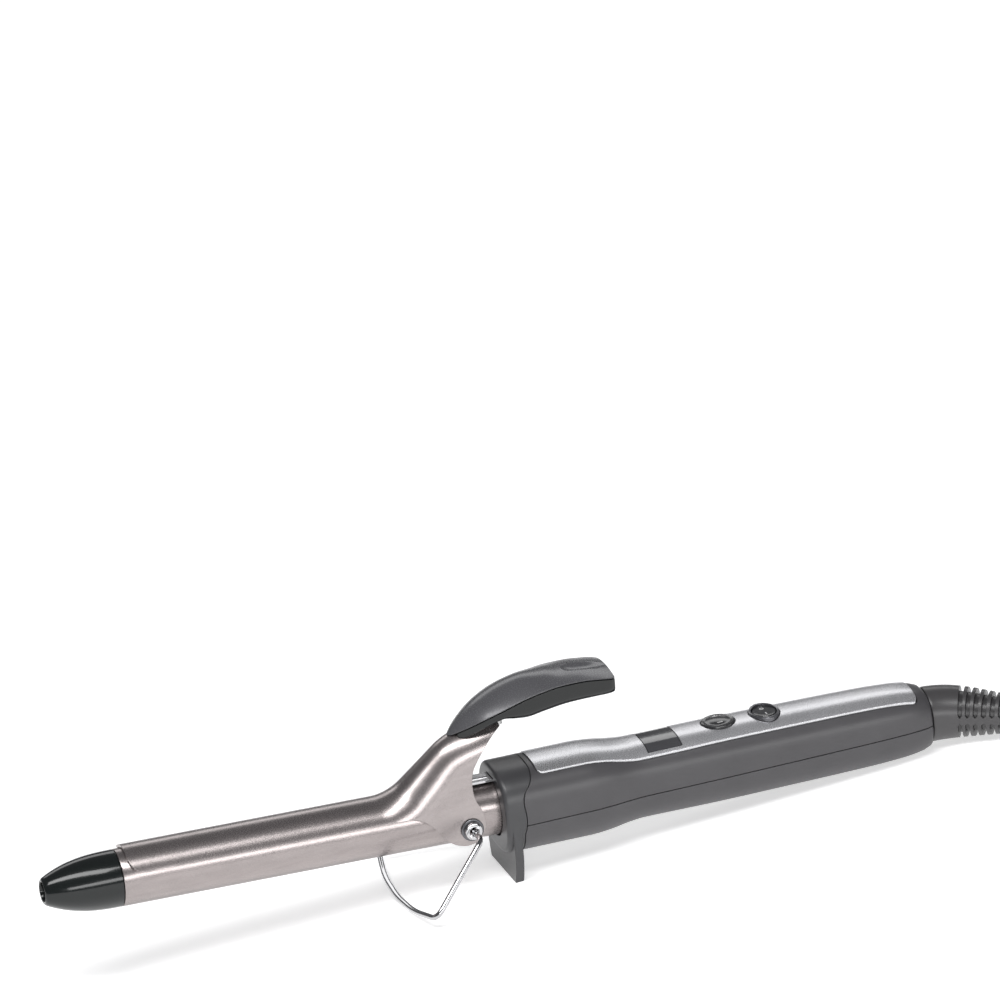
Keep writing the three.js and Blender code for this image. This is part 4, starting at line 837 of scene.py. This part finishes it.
settle(handle_shell("handle_lower_shell_piece", False), "iron", "handle_grey", "handle_lower_shell")
settle(top_panel(), "iron", "panel_silver", "top_panel")
settle(window(), "iron", "window_smoke", "display_window")
settle(boot(), "boot", "boot_rubber", "strain_relief_boot")

MARK_REACH, MARK_HALF, MARK_Y, MARK_SINK = 0.9, 0.18, 2.7, 0.3

# The temperature rocker: a round cap with a groove inside its rim, and a generic plus and minus.
cap = in_handle(dome_z("temperature_rocker_piece", [
    (1.4, DECK - 5), (1.4, DECK - 3), (ROCKER_R, DECK - 3), (ROCKER_R, DECK + 0.5),
    (ROCKER_R - 0.15, DECK + 0.75), (ROCKER_R - 0.5, DECK + 0.9), (ROCKER_R - 1.1, DECK + 0.8),
    (ROCKER_R - 1.5, DECK + 0.75),
    (ROCKER_R - 2.2, DECK + 1.0), (2.2, DECK + 1.25), (1, DECK + 1.35), (0.2, DECK + 1.38)], ROCKER_X))
settle(cap, "temperature_rocker", "button_grey", "temperature_rocker")
mark_z = DECK + 1.12
for name, y in (("mark_minus", -MARK_Y), ("mark_plus", MARK_Y)):
    stroke = block(name, ROCKER_X - MARK_REACH, ROCKER_X + MARK_REACH, y - MARK_HALF, y + MARK_HALF,
                   mark_z - MARK_SINK, mark_z + 0.06)
    settle(in_handle(stroke), "temperature_rocker", "button_grey", finish=MARK_WHITE)
stroke = block("mark_plus_bar", ROCKER_X - MARK_HALF, ROCKER_X + MARK_HALF, MARK_Y - MARK_REACH,
               MARK_Y + MARK_REACH, mark_z - MARK_SINK, mark_z + 0.07)
settle(in_handle(stroke), "temperature_rocker", "button_grey", finish=MARK_WHITE)

# The power switch: a leaf-shaped bezel round a tilted cap, with a generic bar and ring.
bezel = leaf_dome("power_bezel_piece", POWER_HALF_X - GAP, POWER_HALF_Y - GAP,
                  [(0, DECK - 3.4), (0, DECK + 0.55), (0.15, DECK + 0.8), (0.4, DECK + 0.9),
                   (BEZEL * 0.8, DECK + 0.75), (BEZEL - 0.1, DECK + 0.55)])
combine(bezel, leaf_prism("well", POWER_HALF_X - BEZEL, POWER_HALF_Y - BEZEL * 1.3, 0, 30))
settle(in_handle(bezel), "iron", "button_grey", "power_bezel", finish=BEZEL_GREY)
cap_x, cap_y = POWER_HALF_X - BEZEL - GAP, POWER_HALF_Y - BEZEL * 1.3 - GAP
rocker = leaf_dome("power_rocker_piece", cap_x, cap_y, [(0, DECK - 2.6), (0, DECK + 0.3), (0.12, DECK + 0.5),
                                                        (0.4, DECK + 0.6), (1.6, DECK + 0.5)])
level = (Matrix.Translation((0, 0, DECK - 1)) @ Matrix.Rotation(math.radians(-4), 4, "X")
         @ Matrix.Translation((0, 0, 1 - DECK)))
rocker.data.transform(level)
settle(in_handle(rocker), "power_rocker", "button_grey", "power_rocker")
dash = block("mark_on", POWER_X - 0.16, POWER_X + 0.16, -3.4, -1.6, DECK + 0.3, DECK + 0.56)
dash.data.transform(level)
settle(in_handle(dash), "power_rocker", "button_grey", finish=MARK_WHITE)
ring_profile = [(0.8, DECK + 0.3), (0.8, DECK + 0.57), (0.52, DECK + 0.57), (0.52, DECK + 0.3)]
ring = rings("mark_off", [[(POWER_X + r * math.cos(TAU * k / 32), 2.5 + r * math.sin(TAU * k / 32), z)
                           for k in range(32)] for r, z in ring_profile], loop=True)
ring.data.transform(level)
settle(in_handle(ring), "power_rocker", "button_grey", finish=MARK_WHITE)

# ---------------------------------------------------------------- pieces carried over from the CAD
for name, node in frame["nodes"].items():
    if not node.hide_render:
        dress(node, FINISHES[slot_of[name]])

# ---------------------------------------------------------------- floor, lights and camera
FLOOR_HALF = 8
ground = bpy.data.meshes.new("floor")
ground.from_pydata([(x * FLOOR_HALF, y * FLOOR_HALF, 0) for x, y in ((-1, -1), (1, -1), (1, 1), (-1, 1))],
                   [], [(0, 1, 2, 3)])
floor = bpy.data.objects.new("floor", ground)
scene.collection.objects.link(floor)
plain = Nodes("floor_pale")
plain.link(plain.mixed(plain.ranged(plain.noise(3), 0, 1), (0.93, 0.93, 0.93), (0.95, 0.95, 0.95)),
           plain.bsdf.inputs["Base Color"])
plain.bsdf.inputs["Roughness"].default_value = 0.9
plain.bsdf.inputs["Emission Color"].default_value = (1, 1, 1, 1)
plain.bsdf.inputs["Emission Strength"].default_value = 0.5
floor.data.materials.append(plain.mat)

world = bpy.data.worlds.new("studio")
scene.world = world
world.use_nodes = True
world.node_tree.nodes["Background"].inputs["Color"].default_value = (0.95, 0.96, 1, 1)
world.node_tree.nodes["Background"].inputs["Strength"].default_value = 0.15

middle = (Vector(CAD_BOX[0]) + Vector(CAD_BOX[1])) / 2


def area(name, offset, size, power):
    light = bpy.data.lights.new(name, "AREA")
    light.shape, light.size, light.size_y, light.energy = "RECTANGLE", size[0], size[1], power
    obj = bpy.data.objects.new(name, light)
    obj.location = middle + Vector(offset)
    obj.rotation_euler = (-Vector(offset)).to_track_quat("-Z", "Y").to_euler()
    scene.collection.objects.link(obj)


area("key", (-0.3, -0.5, 1.3), (1.4, 0.4), 15)
area("front", (0.1, -1.3, 0.35), (1.6, 0.25), 8)
area("rim", (0.2, 1.2, 0.7), (1.4, 0.4), 3)

CAMERA_YAW, CAMERA_FALL, CAMERA_ROLL = math.radians(14.8), math.radians(22), math.radians(10.608)
CAMERA_DISTANCE, CAMERA_AIM, CAMERA_OFFSET = 5000, (25, 0, 0), (124.24, 122.3)
LENS, SENSOR, CLIP_NEAR, CLIP_FAR = 556.2, 36, 0.1, 60
back = Vector((-math.sin(CAMERA_YAW), -math.cos(CAMERA_YAW) * math.cos(CAMERA_FALL),
               math.cos(CAMERA_YAW) * math.sin(CAMERA_FALL)))
level_x = (Vector((1, 0, 0)) + back * math.sin(CAMERA_YAW)) / math.cos(CAMERA_YAW)
level_y = back.cross(level_x)
right = level_x * math.cos(CAMERA_ROLL) - level_y * math.sin(CAMERA_ROLL)
up = level_x * math.sin(CAMERA_ROLL) + level_y * math.cos(CAMERA_ROLL)
lens = bpy.data.cameras.new("camera")
lens.lens, lens.sensor_width, lens.clip_start, lens.clip_end = LENS, SENSOR, CLIP_NEAR, CLIP_FAR
camera = bpy.data.objects.new("camera", lens)
at = Vector(CAMERA_AIM) + back * CAMERA_DISTANCE + right * CAMERA_OFFSET[0] + up * CAMERA_OFFSET[1]
facing = (turn.to_3x3() @ Matrix((right, up, back)).transposed()).to_4x4()
camera.matrix_world = Matrix.Translation(TOOL @ at) @ facing
scene.collection.objects.link(camera)
scene.camera = camera
scene.view_settings.view_transform = "Standard"
